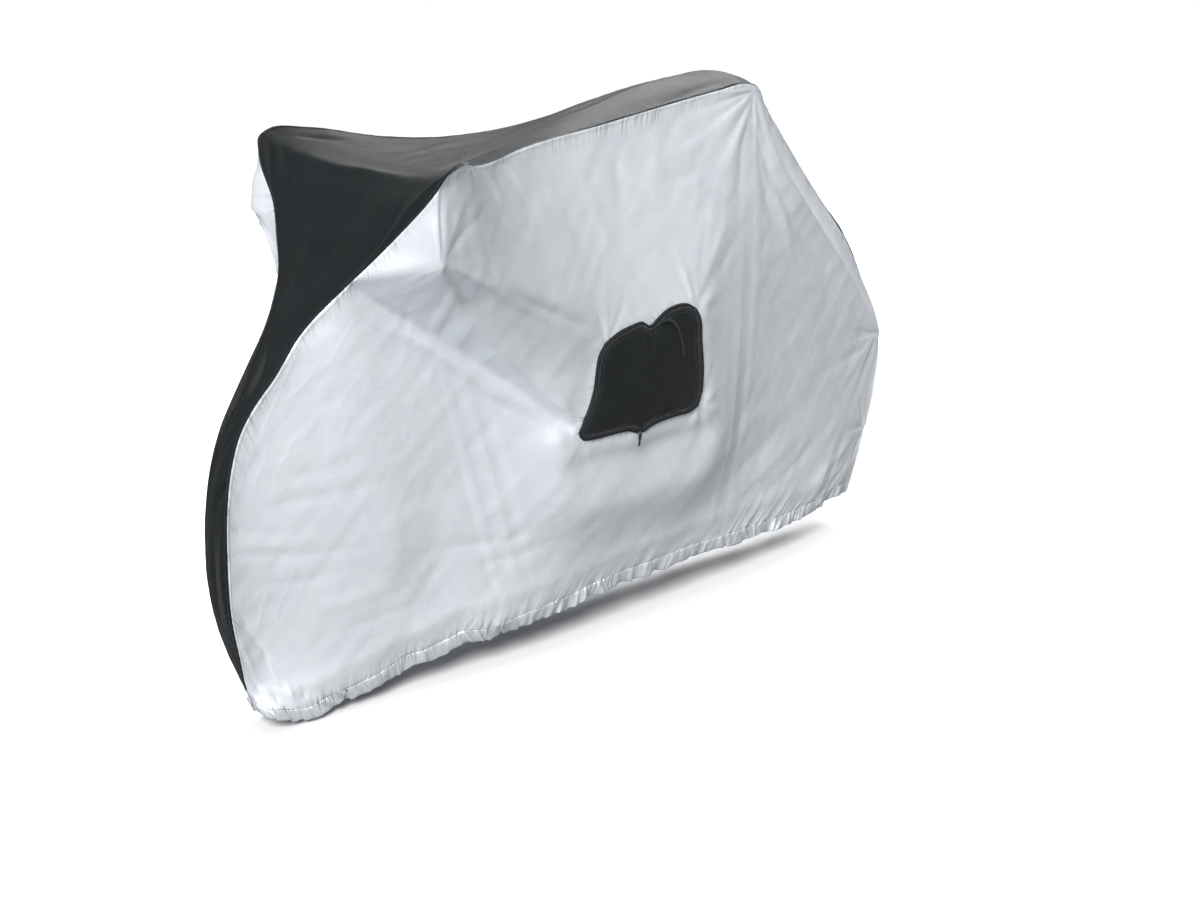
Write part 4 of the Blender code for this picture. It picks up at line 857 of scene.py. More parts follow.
# %% Creases of the centre band
BAND_CREASES = (
    # far corner of the hood
    (((-0.552, 0.262, 0.95), (-0.565, 0.232, 0.915), (-0.59, 0.18, 0.85)),
     0.0022, 0.004, 0.01, 0.3, 1.5),
    (((-0.54, 0.25, 0.95), (-0.557, 0.222, 0.921), (-0.57, 0.203, 0.893), (-0.6, 0.15, 0.81)),
     -0.004, 0.004, 0.011, 0.3, 1.5),
    (((-0.536, 0.232, 0.945), (-0.55, 0.21, 0.922), (-0.57, 0.18, 0.88)),
     0.0022, 0.005, 0.01, 0.4, 1.5),
    (((-0.53, 0.222, 0.943), (-0.545, 0.197, 0.924), (-0.556, 0.178, 0.905), (-0.575, 0.148, 0.867)),
     -0.003, 0.004, 0.01, 0.35, 1.5),
    (((-0.53, 0.19, 0.93), (-0.559, 0.137, 0.892), (-0.6, 0.08, 0.812)),
     -0.0036, 0.008, 0.02, 0.4, 1.6),
    (((-0.55, 0.16, 0.905), (-0.59, 0.12, 0.835), (-0.64, 0.07, 0.753)), 0.003, 0.008, 0.016, 0.5, 1.6),
    # between the bar ends
    (((-0.54, 0.235, 0.943), (-0.523, 0.137, 0.923), (-0.519, 0.063, 0.914), (-0.512, 0.004, 0.914),
      (-0.518, -0.08, 0.922), (-0.532, -0.17, 0.938), (-0.545, -0.24, 0.95)),
     0.0095, 0.018, 0.018, 0.5, 1.25),
    (((-0.56, 0.12, 0.888), (-0.57, 0.0, 0.862), (-0.56, -0.12, 0.885)), -0.0055, 0.03, 0.03, 0.5, 2.0),
    (((-0.545, 0.08, 0.899), (-0.61, 0.04, 0.795), (-0.66, 0.02, 0.726)), 0.003, 0.012, 0.02, 0.5, 1.7),
    (((-0.56, -0.02, 0.88), (-0.61, -0.02, 0.795), (-0.67, -0.01, 0.712)),
     -0.003, 0.014, 0.018, 0.5, 1.7),
    # near corner of the hood
    (((-0.54, -0.248, 0.95), (-0.556, -0.226, 0.922), (-0.566, -0.215, 0.9), (-0.585, -0.175, 0.855)),
     -0.0065, 0.003, 0.01, 0.35, 1.3),
    (((-0.538, -0.24, 0.948), (-0.552, -0.215, 0.922), (-0.58, -0.165, 0.862)),
     0.0045, 0.004, 0.01, 0.4, 1.4),
    (((-0.545, -0.256, 0.952), (-0.56, -0.242, 0.926), (-0.572, -0.222, 0.895)),
     0.0042, 0.003, 0.007, 0.45, 1.4),
    (((-0.545, -0.196, 0.923), (-0.571, -0.177, 0.879), (-0.599, -0.146, 0.822),
      (-0.632, -0.098, 0.762)), 0.005, 0.006, 0.009, 0.5, 1.5),
    (((-0.537, -0.169, 0.921), (-0.57, -0.155, 0.876), (-0.601, -0.124, 0.816), (-0.64, -0.075, 0.75)),
     -0.005, 0.008, 0.01, 0.5, 1.5),
    (((-0.643, -0.086, 0.746), (-0.63, -0.102, 0.766), (-0.618, -0.116, 0.785)),
     0.003, 0.004, 0.005, 0.5, 1.2),
    (((-0.628, 0.097, 0.771), (-0.64, 0.06, 0.753), (-0.655, 0.018, 0.735)),
     -0.0022, 0.004, 0.006, 0.4, 1.3),
    (((-0.662, 0.06, 0.722), (-0.651, 0.048, 0.738), (-0.64, 0.025, 0.753)),
     -0.0018, 0.004, 0.006, 0.5, 1.3),
    # down the front
    (((-0.69, 0.036, 0.685), (-0.725, 0.018, 0.635), (-0.76, 0.006, 0.585), (-0.808, 0.0, 0.522)),
     0.005, 0.006, 0.008, 0.5, 1.5),
    (((-0.695, 0.022, 0.68), (-0.74, 0.0, 0.612), (-0.78, -0.01, 0.56)),
     -0.004, 0.006, 0.006, 0.5, 1.4),
    (((-0.71, 0.04, 0.655), (-0.761, 0.022, 0.587), (-0.811, 0.014, 0.514), (-0.84, 0.012, 0.42)),
     -0.006, 0.006, 0.008, 0.6, 1.4),
    (((-0.829, 0.008, 0.47), (-0.811, -0.006, 0.514), (-0.798, -0.03, 0.538)),
     -0.005, 0.003, 0.004, 0.5, 1.2),
    (((-0.832, 0.002, 0.456), (-0.817, -0.01, 0.5), (-0.802, -0.03, 0.53)),
     0.0036, 0.004, 0.005, 0.5, 1.4),
    (((-0.826, -0.03, 0.466), (-0.832, -0.02, 0.446), (-0.838, -0.006, 0.425), (-0.846, 0.0, 0.38)),
     -0.006, 0.004, 0.006, 0.35, 1.3),
    (((-0.836, -0.026, 0.42), (-0.846, -0.022, 0.35), (-0.845, -0.02, 0.29), (-0.839, -0.018, 0.218),
      (-0.822, -0.012, 0.14)), 0.005, 0.007, 0.009, 0.4, 1.6),
    (((-0.846, -0.002, 0.39), (-0.85, 0.002, 0.32), (-0.846, 0.006, 0.25), (-0.83, 0.004, 0.17)),
     -0.0045, 0.007, 0.009, 0.45, 1.6),
    # along the top
    (((-0.15, -0.01, 0.956), (-0.122, -0.004, 0.96), (-0.038, -0.014, 0.976), (0.095, 0.004, 0.998),
      (0.279, 0.014, 1.013)), 0.0032, 0.01, 0.014, 0.5, 1.7),
    (((-0.13, 0.012, 0.958), (-0.03, 0.006, 0.976), (0.1, 0.026, 0.997)),
     -0.002, 0.01, 0.014, 0.5, 1.7),
    (((-0.128, -0.002, 0.958), (-0.12, -0.03, 0.958), (-0.117, -0.06, 0.956)),
     0.0012, 0.004, 0.006, 0.4, 1.4),
    (((0.06, -0.07, 0.972), (0.194, -0.06, 0.994), (0.291, -0.055, 1.006)),
     -0.003, 0.01, 0.014, 0.6, 1.7),
    (((0.15, -0.02, 1.003), (0.25, -0.02, 1.013), (0.32, -0.03, 1.008)),
     0.0018, 0.008, 0.012, 0.6, 1.7),
    (((-0.48, 0.15, 0.93), (-0.383, 0.083, 0.93), (-0.3, 0.045, 0.932), (-0.187, -0.005, 0.945)),
     -0.0032, 0.008, 0.012, 0.4, 1.6),
    (((-0.47, -0.12, 0.93), (-0.38, -0.07, 0.928), (-0.28, -0.04, 0.934), (-0.2, -0.03, 0.944)),
     -0.003, 0.008, 0.012, 0.4, 1.6),
    (((-0.45, 0.05, 0.924), (-0.311, 0.064, 0.931), (-0.217, 0.06, 0.942)),
     0.0028, 0.008, 0.012, 0.5, 1.6),
    (((-0.52, -0.23, 0.955), (-0.45, -0.17, 0.94), (-0.38, -0.12, 0.936)),
     -0.004, 0.005, 0.014, 0.35, 1.5),
    (((-0.52, 0.235, 0.955), (-0.44, 0.17, 0.942), (-0.35, 0.12, 0.938)),
     -0.0044, 0.005, 0.014, 0.35, 1.5),
    # down the rear
    (((0.35, 0.0, 1.003), (0.4, 0.01, 0.945), (0.5, 0.006, 0.84)), 0.003, 0.01, 0.012, 0.3, 1.7),
    (((0.37, -0.03, 0.97), (0.47, -0.01, 0.862), (0.6, 0.02, 0.738), (0.75, 0.03, 0.585)),
     -0.0036, 0.01, 0.012, 0.45, 1.7),
    (((0.56, 0.0, 0.775), (0.7, 0.02, 0.65), (0.836, 0.03, 0.415)), 0.003, 0.008, 0.012, 0.6, 1.7),
    (((0.838, 0.01, 0.412), (0.832, 0.028, 0.4), (0.828, 0.056, 0.41)), -0.003, 0.004, 0.006, 0.5, 1.3),
    (((0.84, 0.02, 0.385), (0.83, 0.024, 0.3), (0.81, 0.03, 0.22)), 0.003, 0.008, 0.012, 0.5, 1.7),
)
print("creases chalked on the band:", len(BAND_CREASES))

# %% [markdown]
# The band is widest over the bars, where it makes a hood between the two bar
# ends, and narrows to nothing at the hems. Its surface is a chord from seam to
# seam, lifted to a middle line. Both its edges pucker with the same seeds as the
# panels sewn to them, so the small folds run on across the seam.

# %% The centre band
BAND_ROLL, BAND_HOOD_ROLL = 0.0013, 0.0042    # height of the turned edge, and more at the hood
BAND_PUCKER = 0.0013
UP_AND_FORWARD = np.array([-0.3, 0.0, 1.0])   # the side on which the band is seen


def band_surface(at, cells):
    """Band before its folds: with s from -1 at the near seam to 1 at the far
    one, the chord plus (middle line - chord's middle) times (1 - s^2)."""
    near, far = seam_points(at, "near"), seam_points(at, "far")
    middle = np.stack([band_curve("cx", at), (near[:, 1] + far[:, 1]) / 2,
                       band_curve("cz", at)], axis=1)
    t = np.linspace(-1, 1, cells + 1)
    s = (0.5 * t + 0.5 * np.sin(t * math.pi / 2))[None, :, None]
    chord = near[:, None] * (1 - s) / 2 + far[:, None] * (1 + s) / 2
    return chord + (middle - (near + far) / 2)[:, None] * (1 - s * s)


def folded_band(form, seed):
    """Band with its folds: creases, fine slanted creasing, and both seams' rolls
    and gathers, which match the panels' because they share the seeds."""
    n = normals(form, UP_AND_FORWARD)
    across = column_lengths(form)
    width = across[:, -1:]
    near_off, far_off = across, width - across
    s = np.broadcast_to(AT[:, None], across.shape)
    v = across - width / 2
    depth = creases(form, BAND_CREASES)
    depth += (0.0004 * field(s, v, 0.02, 0.14, 4, seed)
              + 0.0002 * field(s, v, 0.016, 0.06, 38, seed + 1))
    depth += 0.0002 * field(s, v, 0.016, 0.06, -36, seed + 2)
    show = np.clip(field(s, v, 0.09, 0.14, 0, seed + 3) * 1.6, 0, 1)
    depth += 0.0007 * show * ridged(field(s, v, 0.02, 0.08, 24, seed + 4))
    edge = np.minimum(near_off, far_off)
    depth *= np.clip(edge / 0.01, 0, 1)
    hood = at_hood(s)
    depth += (BAND_ROLL + BAND_HOOD_ROLL * hood) * seam_roll(near_off / (1 + 1.2 * hood))
    depth += BAND_ROLL * seam_roll(far_off)
    depth += BAND_PUCKER * seam_puckers(s, near_off, 31) + BAND_PUCKER * seam_puckers(s, far_off, 231)
    return form + n * (depth * np.clip(width / 0.05, 0, 1))[..., None]


band_form = band_surface(AT, BAND_ACROSS)
band_cloth = folded_band(band_form, 401)
band_width = column_lengths(band_form)[:, -1]
print("band: widest %.3f m, at %.3f m along the seam" % (band_width.max(), AT[band_width.argmax()]))

# %% [markdown]
# Every piece becomes a mesh in the same way: points as an array, faces of four
# corners as an array of numbers, a map in metres for the weave. The faces must
# look outwards, so the sheet's flux from a point inside the cover is tested once
# and all faces are turned over if it is negative.

# %% Making meshes from arrays
INSIDE = np.array([0.0, 0.0, 0.5])       # a point inside the cover, side-view frame


def grid_faces(rows, cols, closed=False):
    """Corner numbers of every cell of a grid; closed joins the last row to the first."""
    k = np.arange(rows * cols).reshape(rows, cols)
    if closed:
        k = np.concatenate([k, k[:1]], axis=0)
    return np.stack([k[:-1, :-1], k[1:, :-1], k[1:, 1:], k[:-1, 1:]], axis=-1).reshape(-1, 4)


def facing_out(points, faces):
    """The same faces, turned over if their flux is inwards: the sum of half the
    cross product of the diagonals, times the way from INSIDE to the middle."""
    a, b, c, d = (points[faces[:, k]] for k in range(4))
    flux = np.sum(np.cross(c - a, d - b) * ((a + b + c + d) / 4 - INSIDE))
    return faces if flux > 0 else faces[:, ::-1]


def make_piece(name, points, faces, finish, slot, uv=None, **more_maps):
    """A mesh object from arrays, in the model's own frame, riding on the body."""
    points = np.asarray(points).reshape(-1, 3)
    faces = facing_out(points, faces)
    mesh = bpy.data.meshes.new(name)
    mesh.vertices.add(len(points))
    mesh.vertices.foreach_set("co", (points - ORIGIN).astype(np.float32).ravel())
    mesh.loops.add(faces.size)
    mesh.loops.foreach_set("vertex_index", faces.astype(np.int32).ravel())
    mesh.polygons.add(len(faces))
    mesh.polygons.foreach_set("loop_start", np.arange(0, faces.size, 4, dtype=np.int32))
    mesh.update(calc_edges=True)
    mesh.polygons.foreach_set("use_smooth", np.ones(len(faces), bool))
    for map_name, values in {"cloth": uv, **more_maps}.items():
        if values is not None:
            values = values.reshape(-1, 2)[faces.ravel()].astype(np.float32)
            mesh.uv_layers.new(name=map_name).data.foreach_set("uv", values.ravel())
    mesh.materials.append(finish)
    piece = bpy.data.objects.new(name, mesh)
    scene.collection.objects.link(piece)
    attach(piece, "root")
    print("%s: %d faces" % (name, len(faces)))
    return piece


def cloth_map(grid, along):
    """Map in metres: distance along the seam, and away from it."""
    return np.stack([np.broadcast_to(along[:, None], grid.shape[:2]), column_lengths(grid)], axis=-1)


print("faces of the near panel's grid:", len(grid_faces(*near_grid.shape[:2])))

# %% [markdown]
# The finishes are node trees. A tree is easier to read when each kind of node has
# a short function in plain words: a mix of two colours, a stretched range, a
# noise, a turned place, a bump. Numbers that are the same all over a surface go
# straight on the shader's own sockets.

# %% Nodes in plain words
def new_finish(name):
    """An empty material with a Principled shader: its tree, its shader."""
    finish = bpy.data.materials.new(name)
    finish.use_nodes = True
    return finish, finish.node_tree, finish.node_tree.nodes["Principled BSDF"]


def set_sockets(shader, values):
    """Set the shader's own sockets by name."""
    for name, value in values.items():
        shader.inputs[name].default_value = value


def add_node(tree, kind, settings=(), **links):
    """A node with its settings, and each named input linked from a socket or set."""
    node = tree.nodes.new(kind)
    for name, value in settings:
        setattr(node, name, value)
    for name, value in links.items():
        socket = node.inputs[int(name[1:])] if name[0] == "i" and name[1:].isdigit() \
            else node.inputs[name.replace("_", " ")]
        if isinstance(value, bpy.types.NodeSocket):
            tree.links.new(value, socket)
        else:
            socket.default_value = value
    return node


def mixed(tree, factor, first, second):
    """Colour between two colours, by a factor socket."""
    node = add_node(tree, "ShaderNodeMix", [("data_type", "RGBA")], i0=factor)
    for socket, value in ((node.inputs[6], first), (node.inputs[7], second)):
        if isinstance(value, bpy.types.NodeSocket):
            tree.links.new(value, socket)
        else:
            socket.default_value = value
    return node.outputs[2]


def ramped(tree, value, low, high, to_low=0.0, to_high=1.0):
    """A value stretched from one range to another, and held inside it."""
    node = add_node(tree, "ShaderNodeMapRange", i0=value, i1=low, i2=high, i3=to_low, i4=to_high)
    return node.outputs[0]


def noise(tree, place, scale, detail=2.0, rough=0.5, distortion=0.0):
    """Value of a noise texture at a place."""
    node = add_node(tree, "ShaderNodeTexNoise", Vector=place, Scale=scale, Detail=detail,
                    Roughness=rough, Distortion=distortion)
    return node.outputs["Fac"]


def turned(tree, place, degrees, squeeze):
    """A place turned about z and squeezed along the new x, for slanted creases."""
    node = add_node(tree, "ShaderNodeMapping", Vector=place)
    node.inputs["Rotation"].default_value = (0, 0, math.radians(degrees))
    node.inputs["Scale"].default_value = (squeeze, 1, 1)
    return node.outputs[0]


def bumped(tree, height, distance, strength, normal=None):
    """A bump on top of another one."""
    node = add_node(tree, "ShaderNodeBump", Height=height, Distance=distance, Strength=strength)
    if normal is not None:
        tree.links.new(normal, node.inputs["Normal"])
    return node.outputs["Normal"]


def computed(tree, operation, *values):
    """Result of one Math node."""
    links = {"i%d" % k: value for k, value in enumerate(values)}
    return add_node(tree, "ShaderNodeMath", [("operation", operation)], **links).outputs[0]


def sum_of(tree, *values):
    """Sum of several values."""
    total = values[0]
    for value in values[1:]:
        total = computed(tree, "ADD", total, value)
    return total


print("materials so far:", len(bpy.data.materials))

# %% [markdown]
# One builder serves all the cloths: a base colour with a faint cloudy change, a
# fine plain weave as a bump, and the small creases that cloth keeps from being
# packed. The weave follows each piece's own map, which is in metres, so that it
# turns with the cloth. The finest gathers beside a sewn edge are too small for
# the mesh, so they are a bump and a painted shade in their troughs, on a map of
# the distance to the edge; on the hem's casing the painted shade is deeper.

# %% Cloth finishes
WAVE_SCALE = 0.314       # a wave texture's scale for one wave to a metre


def weave(tree, place, threads):
    """Plain weave: a wave along the cloth plus one across it, threads to a metre."""
    waves = [add_node(tree, "ShaderNodeTexWave", [("bands_direction", way)], Vector=place,
                      Scale=threads * WAVE_SCALE, Distortion=0.4, Detail=1.0).outputs["Fac"]
             for way in ("X", "Y")]
    return sum_of(tree, *waves)


def puckers(tree, map_name, cell, reach, lean):
    """Fine gathers from a map of distance along an edge and away from it: noise in
    cells of cell metres along the edge, dying out within reach metres. Gives
    their height and a painted shade for their troughs, deeper behind the edge,
    where the map runs below zero, as on the hem's casing."""
    place = add_node(tree, "ShaderNodeUVMap", [("uv_map", map_name)]).outputs[0]
    parts = add_node(tree, "ShaderNodeSeparateXYZ", Vector=place).outputs
    leaning = computed(tree, "MULTIPLY_ADD", parts[1], lean, parts[0])
    along = computed(tree, "MULTIPLY", leaning, 1 / cell)
    away = computed(tree, "MULTIPLY", parts[1], 14.0)
    spot = add_node(tree, "ShaderNodeCombineXYZ", X=along, Y=away)
    value = noise(tree, spot.outputs[0], 1.0, 2.0, 0.6, 0.5)
    fade = ramped(tree, computed(tree, "ABSOLUTE", parts[1]), 0.0015, reach, 1.0, 0.0)
    patch = ramped(tree, noise(tree, place, 11.0, 1.0), 0.35, 0.62, 0.25, 1.0)
    fade = computed(tree, "MULTIPLY", computed(tree, "MULTIPLY", fade, fade), patch)
    # painted shade on the hem's casing, below the stitch line, where the map is at minus
    behind = ramped(tree, parts[1], -0.0006, -0.004, 0.0, 0.42)
    return (computed(tree, "MULTIPLY", value, fade),
            computed(tree, "MULTIPLY_ADD", ramped(tree, value, 0.5, 0.34), fade, behind))


def cloth_finish(name, light, dark, sockets, creasing, threads, weave_depth, edges=()):
    """A woven cloth: light and dark are the colours of its cloudy change, and
    creasing is how deep its small creases are, in metres. Every row of edges is
    a map, a cell, a reach, a lean and a depth for fine gathers beside an edge,
    which get a bump and a painted shade that darkens the colour in their troughs."""
    finish, tree, shader = new_finish(name)
    place = add_node(tree, "ShaderNodeUVMap", [("uv_map", "cloth")]).outputs[0]
    cloud = ramped(tree, noise(tree, place, 9.0, 4.0, 0.6), 0.35, 0.65)
    fine = ramped(tree, noise(tree, place, 160.0, 3.0, 0.6), 0.3, 0.7, 0.0, 0.35)
    colour = mixed(tree, sum_of(tree, cloud, fine), dark, light)
    slants = [noise(tree, turned(tree, place, angle, squeeze), scale, 3.0, 0.55, 0.6)
              for angle, squeeze, scale in ((38, 0.3, 62.0), (-44, 0.35, 54.0), (8, 0.5, 30.0))]
    sharp = [ramped(tree, computed(tree, "PINGPONG", value, 0.5), 0.4, 0.5) for value in slants[:2]]
    normal = bumped(tree, sum_of(tree, *slants), creasing, 0.6)
    normal = bumped(tree, sum_of(tree, *sharp), creasing * 0.35, 0.5, normal)
    for map_name, cell, reach, lean, depth in edges:
        height, shade = puckers(tree, map_name, cell, reach, lean)
        normal = bumped(tree, height, depth, 0.8, normal)
        # painted shade: the colour is mixed towards half the dark tone in the gathers' troughs and on
        # the casing
        painted_shade_colour = [c * 0.5 for c in dark[:3]] + [1]
        colour = mixed(tree, computed(tree, "MULTIPLY", shade, 0.8), colour, painted_shade_colour)
    normal = bumped(tree, weave(tree, place, threads), weave_depth, 0.5, normal)
    tree.links.new(colour, shader.inputs["Base Color"])
    tree.links.new(normal, shader.inputs["Normal"])
    set_sockets(shader, sockets)
    return finish


silver = cloth_finish("silver_taffeta", (0.8, 0.835, 0.87, 1), (0.745, 0.78, 0.82, 1),
                      {"Metallic": 0.35, "Roughness": 0.42, "Specular IOR Level": 0.5,
                       "Sheen Weight": 0.1, "Sheen Roughness": 0.5}, 0.00035, 2200, 0.00006,
                      (("seam", 0.0075, 0.045, 0.25, 0.0045), ("hem", 0.0075, 0.044, -0.5, 0.007),
                       ("pocket", 0.0065, 0.02, 0.2, 0.0036)))
nylon = cloth_finish("black_nylon", (0.0085, 0.0103, 0.0112, 1), (0.007, 0.0086, 0.0094, 1),
                     {"Metallic": 0.0, "Roughness": 0.5, "Specular IOR Level": 0.16,
                      "Sheen Weight": 0.04, "Sheen Roughness": 0.4}, 0.00015, 2200, 0.00006,
                     (("near_edge", 0.0075, 0.04, 0.25, 0.004),
                      ("far_edge", 0.0075, 0.04, 0.25, 0.004)))
print("cloth finishes: %s, %s" % (silver.name, nylon.name))

# %% [markdown]
# Now the three big cloths become meshes. Beside the weave's map, each one carries
# a map of the distance to every edge that gathers it: the seam, the hem's stitch
# line and the pocket on the panels, and both seams on the band.

# %% The band and the two panels
def hem_map(grid, stitch_row):
    """Map in metres from the hem's stitch line: along it, and up from it, so that
    the casing below the line is at minus."""
    down = column_lengths(grid)
    along = np.broadcast_to(lengths_along(grid[:, stitch_row])[:, None], down.shape)
    return np.stack([along, down[:, stitch_row:stitch_row + 1] - down], axis=-1)


extra = near_grid.shape[1] - ring_off.shape[1]
pocket_map = np.stack([np.pad(ring_way, ((0, 0), (0, extra)), mode="edge"),
                       np.pad(np.abs(ring_off), ((0, 0), (0, extra)), mode="edge")], axis=-1)
far_away = np.ones(far_grid.shape[:2] + (2,))    # no pocket on the far panel: 1 m off everywhere
near_panel = make_piece("near_cloth", near_grid, grid_faces(*near_grid.shape[:2]), silver,
                        "taffeta_silver", near_grid[..., ::2], seam=cloth_map(near_grid, AT),
                        hem=hem_map(near_grid, NEAR_DOWN), pocket=pocket_map)
far_panel = make_piece("far_cloth", far_grid, grid_faces(*far_grid.shape[:2]), silver,
                       "taffeta_silver", far_grid[..., ::2], seam=cloth_map(far_grid, AT),
                       hem=hem_map(far_grid, FAR_DOWN), pocket=far_away)
band = make_piece("band_cloth", band_cloth, grid_faces(*band_cloth.shape[:2]), nylon,
                  "nylon_black", cloth_map(band_cloth, AT), near_edge=cloth_map(band_cloth, AT),
                  far_edge=cloth_map(band_cloth[:, ::-1], AT)[:, ::-1])
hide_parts("near_panel")
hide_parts("far_panel")
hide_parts("centre_band")

# %% [markdown]
# The pocket lies on the near panel wherever that is. To find the panel under a
# side-view point, the grid is read backwards: the nearest node of a thinned grid
# first, and then a few Newton steps, all points at once.

# %% Finding places on a folded sheet
def sampled(grid, i, j):
    """A grid read between its points, bilinearly."""
    i = np.clip(i, 0, grid.shape[0] - 1.001)
    j = np.clip(j, 0, grid.shape[1] - 1.001)
    a, b = i.astype(int), j.astype(int)
    s, t = (i - a)[..., None], (j - b)[..., None]
    return ((1 - s) * (1 - t) * grid[a, b] + s * (1 - t) * grid[a + 1, b]
            + (1 - s) * t * grid[a, b + 1] + s * t * grid[a + 1, b + 1])


def grid_place(form, x, z, thin=(12, 6)):
    """Row and column numbers at which a sheet lies under side-view points."""
    side = form[..., ::2]
    coarse = side[::thin[0], ::thin[1]]
    off = sum((np.ravel(value)[:, None] - np.ravel(coarse[..., k])[None]) ** 2
              for k, value in enumerate((x, z)))
    near = off.argmin(axis=1).reshape(x.shape)
    i = (near // coarse.shape[1] * thin[0]).astype(float)
    j = (near % coarse.shape[1] * thin[1]).astype(float)
    for _ in range(12):
        gap = np.stack([x, z], axis=-1) - sampled(side, i, j)
        di = sampled(side, i + 0.5, j) - sampled(side, i - 0.5, j)
        dj = sampled(side, i, j + 0.5) - sampled(side, i, j - 0.5)
        det = di[..., 0] * dj[..., 1] - di[..., 1] * dj[..., 0]
        i += np.clip((gap[..., 0] * dj[..., 1] - gap[..., 1] * dj[..., 0]) / det, -6, 6)
        j += np.clip((gap[..., 1] * di[..., 0] - gap[..., 0] * di[..., 1]) / det, -6, 6)
    return i, j


spot = grid_place(near_form, np.array([0.0]), np.array([0.5]))
print("x 0, z 0.5 lies at row %.1f, column %.1f of the near panel" % (spot[0][0], spot[1][0]))

# %% [markdown]
# The pocket is a flat pouch of heavier cloth: a piped edge, a zip that runs all
# round just inside it, and a face that stands a little proud because the zip's
# turnings fill the edge. Its height over the panel is a function
# of how far a point is from the outline, plus a few folds that are chalked in.

# %% Creases of the pocket
POUCH_CREASES = (
    # from the notch at the top
    (((-0.012, 0.603), (-0.006, 0.584), (-0.002, 0.56), (0.012, 0.535)),
     -0.0042, 0.003, 0.008, 0.25, 1.4),
    (((-0.016, 0.6), (-0.028, 0.575), (-0.048, 0.545)), -0.0026, 0.003, 0.009, 0.3, 1.4),
    (((-0.004, 0.6), (0.022, 0.58), (0.04, 0.56)), 0.002, 0.003, 0.008, 0.4, 1.5),
    # across the face
    (((-0.098, 0.59), (-0.086, 0.58), (-0.055, 0.54), (-0.03, 0.515)), 0.003, 0.006, 0.011, 0.4, 1.6),
    (((-0.05, 0.535), (-0.011, 0.51), (0.023, 0.49), (0.07, 0.478)), 0.0026, 0.007, 0.01, 0.5, 1.6),
    (((-0.06, 0.52), (-0.02, 0.492), (0.02, 0.47)), -0.0024, 0.007, 0.01, 0.5, 1.6),
    # from the notch at the foot
    (((-0.021, 0.415), (0.007, 0.441), (0.039, 0.453), (0.08, 0.458)), 0.0034, 0.003, 0.006, 0.35, 1.3),
    (((-0.008, 0.414), (0.02, 0.434), (0.06, 0.447)), -0.003, 0.003, 0.006, 0.4, 1.3),
    (((0.018, 0.417), (0.047, 0.438), (0.082, 0.444)), 0.0024, 0.003, 0.005, 0.4, 1.3),
    (((-0.045, 0.408), (-0.03, 0.43), (-0.01, 0.46)), -0.0026, 0.004, 0.01, 0.3, 1.5),
    (((-0.05, 0.41), (-0.066, 0.432), (-0.09, 0.47)), -0.0022, 0.003, 0.01, 0.3, 1.5),
    (((-0.07, 0.416), (-0.1, 0.45), (-0.13, 0.52)), 0.002, 0.006, 0.012, 0.5, 1.7),
    # beside the rear edge
    (((0.1, 0.59), (0.108, 0.566), (0.106, 0.536), (0.11, 0.5)), -0.0022, 0.003, 0.006, 0.4, 1.4),
    (((0.095, 0.56), (0.1, 0.53), (0.099, 0.47)), 0.0016, 0.004, 0.007, 0.5, 1.6),
)
print("creases chalked on the pocket:", len(POUCH_CREASES))

# %% [markdown]
# The grid is blended from the four edges, so that its rows run along them, and
# lifted off the panel by a sum of soft steps and bells of the distance from the
# outline, in the order in which the parts are sewn.

# %% The pocket's surface
POUCH_LEVEL = 0.0044       # face over the panel near the zip
POUCH_SWELL = 0.004        # how much more in its middle
ZIP_INSET = 0.0092         # zip's centre line, in from the outline


def pouch_layout(cells_u, cells_v):
    """Side-view grid blended from the four edges, its cells crowded at the edges:
    the sides blended across plus the ends blended down, less the corners."""
    u = down_shares(cells_u)
    v = down_shares(cells_v)
    edges = [resampled(e, 400) for e in (POUCH_TOP, POUCH_FOOT, POUCH_FRONT, POUCH_REAR)]
    even = np.linspace(0, 1, 401)
    top, foot = (read_at(e, even, u) for e in edges[:2])
    front, rear = (read_at(e, even, v) for e in edges[2:])
    u, v = u[:, None, None], v[None, :, None]
    sides = front[None] * (1 - u) + rear[None] * u
    ends = top[:, None] * (1 - v) + foot[:, None] * v
    corners = (top[0] * (1 - u) * (1 - v) + top[-1] * u * (1 - v)
               + foot[0] * (1 - u) * v + foot[-1] * u * v)
    swell = (1 - (2 * u[..., 0] - 1) ** 4) * (1 - (2 * v[..., 0] - 1) ** 4)
    return sides + ends - corners, swell


def pouch_height(off, swell, place):
    """Height over the panel: piping, groove, zip shelf, seam of the face, swell."""
    rise = POUCH_LEVEL * (1 - np.exp(-(off / 0.0022) ** 2))
    piping = 0.0019 * np.exp(-((off - 0.0024) / 0.0015) ** 2)
    groove = -0.0014 * np.exp(-((off - 0.0053) / 0.001) ** 2)
    shelf = -0.001 * np.exp(-((off - ZIP_INSET) / 0.0036) ** 6)
    turning = 0.0012 * np.exp(-((off - 0.015) / 0.0016) ** 2)
    inner = np.clip((off - 0.014) / 0.012, 0, 1)
    folds = creases(place, POUCH_CREASES) + 0.0005 * field(place[..., 0], place[..., 1],
                                                           0.012, 0.03, 30, 611)
    return (rise + piping + groove + shelf + turning + POUCH_SWELL * swell * inner
            + folds * np.clip((off - 0.002) / 0.012, 0.12, 1) - 0.0008 * (off < 1e-4))


pouch_side, pouch_swell = pouch_layout(POUCH_ACROSS, POUCH_DOWN)
pouch_off, _ = line_distance(pouch_side, RING[::3])
pouch_off[[0, -1]] = 0.0
pouch_off[:, [0, -1]] = 0.0
spot = grid_place(near_form, pouch_side[..., 0], pouch_side[..., 1])
panel_under = sampled(near_cloth, *spot)
panel_normal = unit(sampled(near_out, *spot))
pouch_rise = pouch_height(pouch_off, pouch_swell, pouch_side)
pouch_grid = panel_under + panel_normal * pouch_rise[..., None]
pouch_normal = normals(pouch_grid, np.array([0.0, -1.0, 0.0]))
print("pocket stands %.1f mm off the panel at most" % (1000 * pouch_rise.max()))


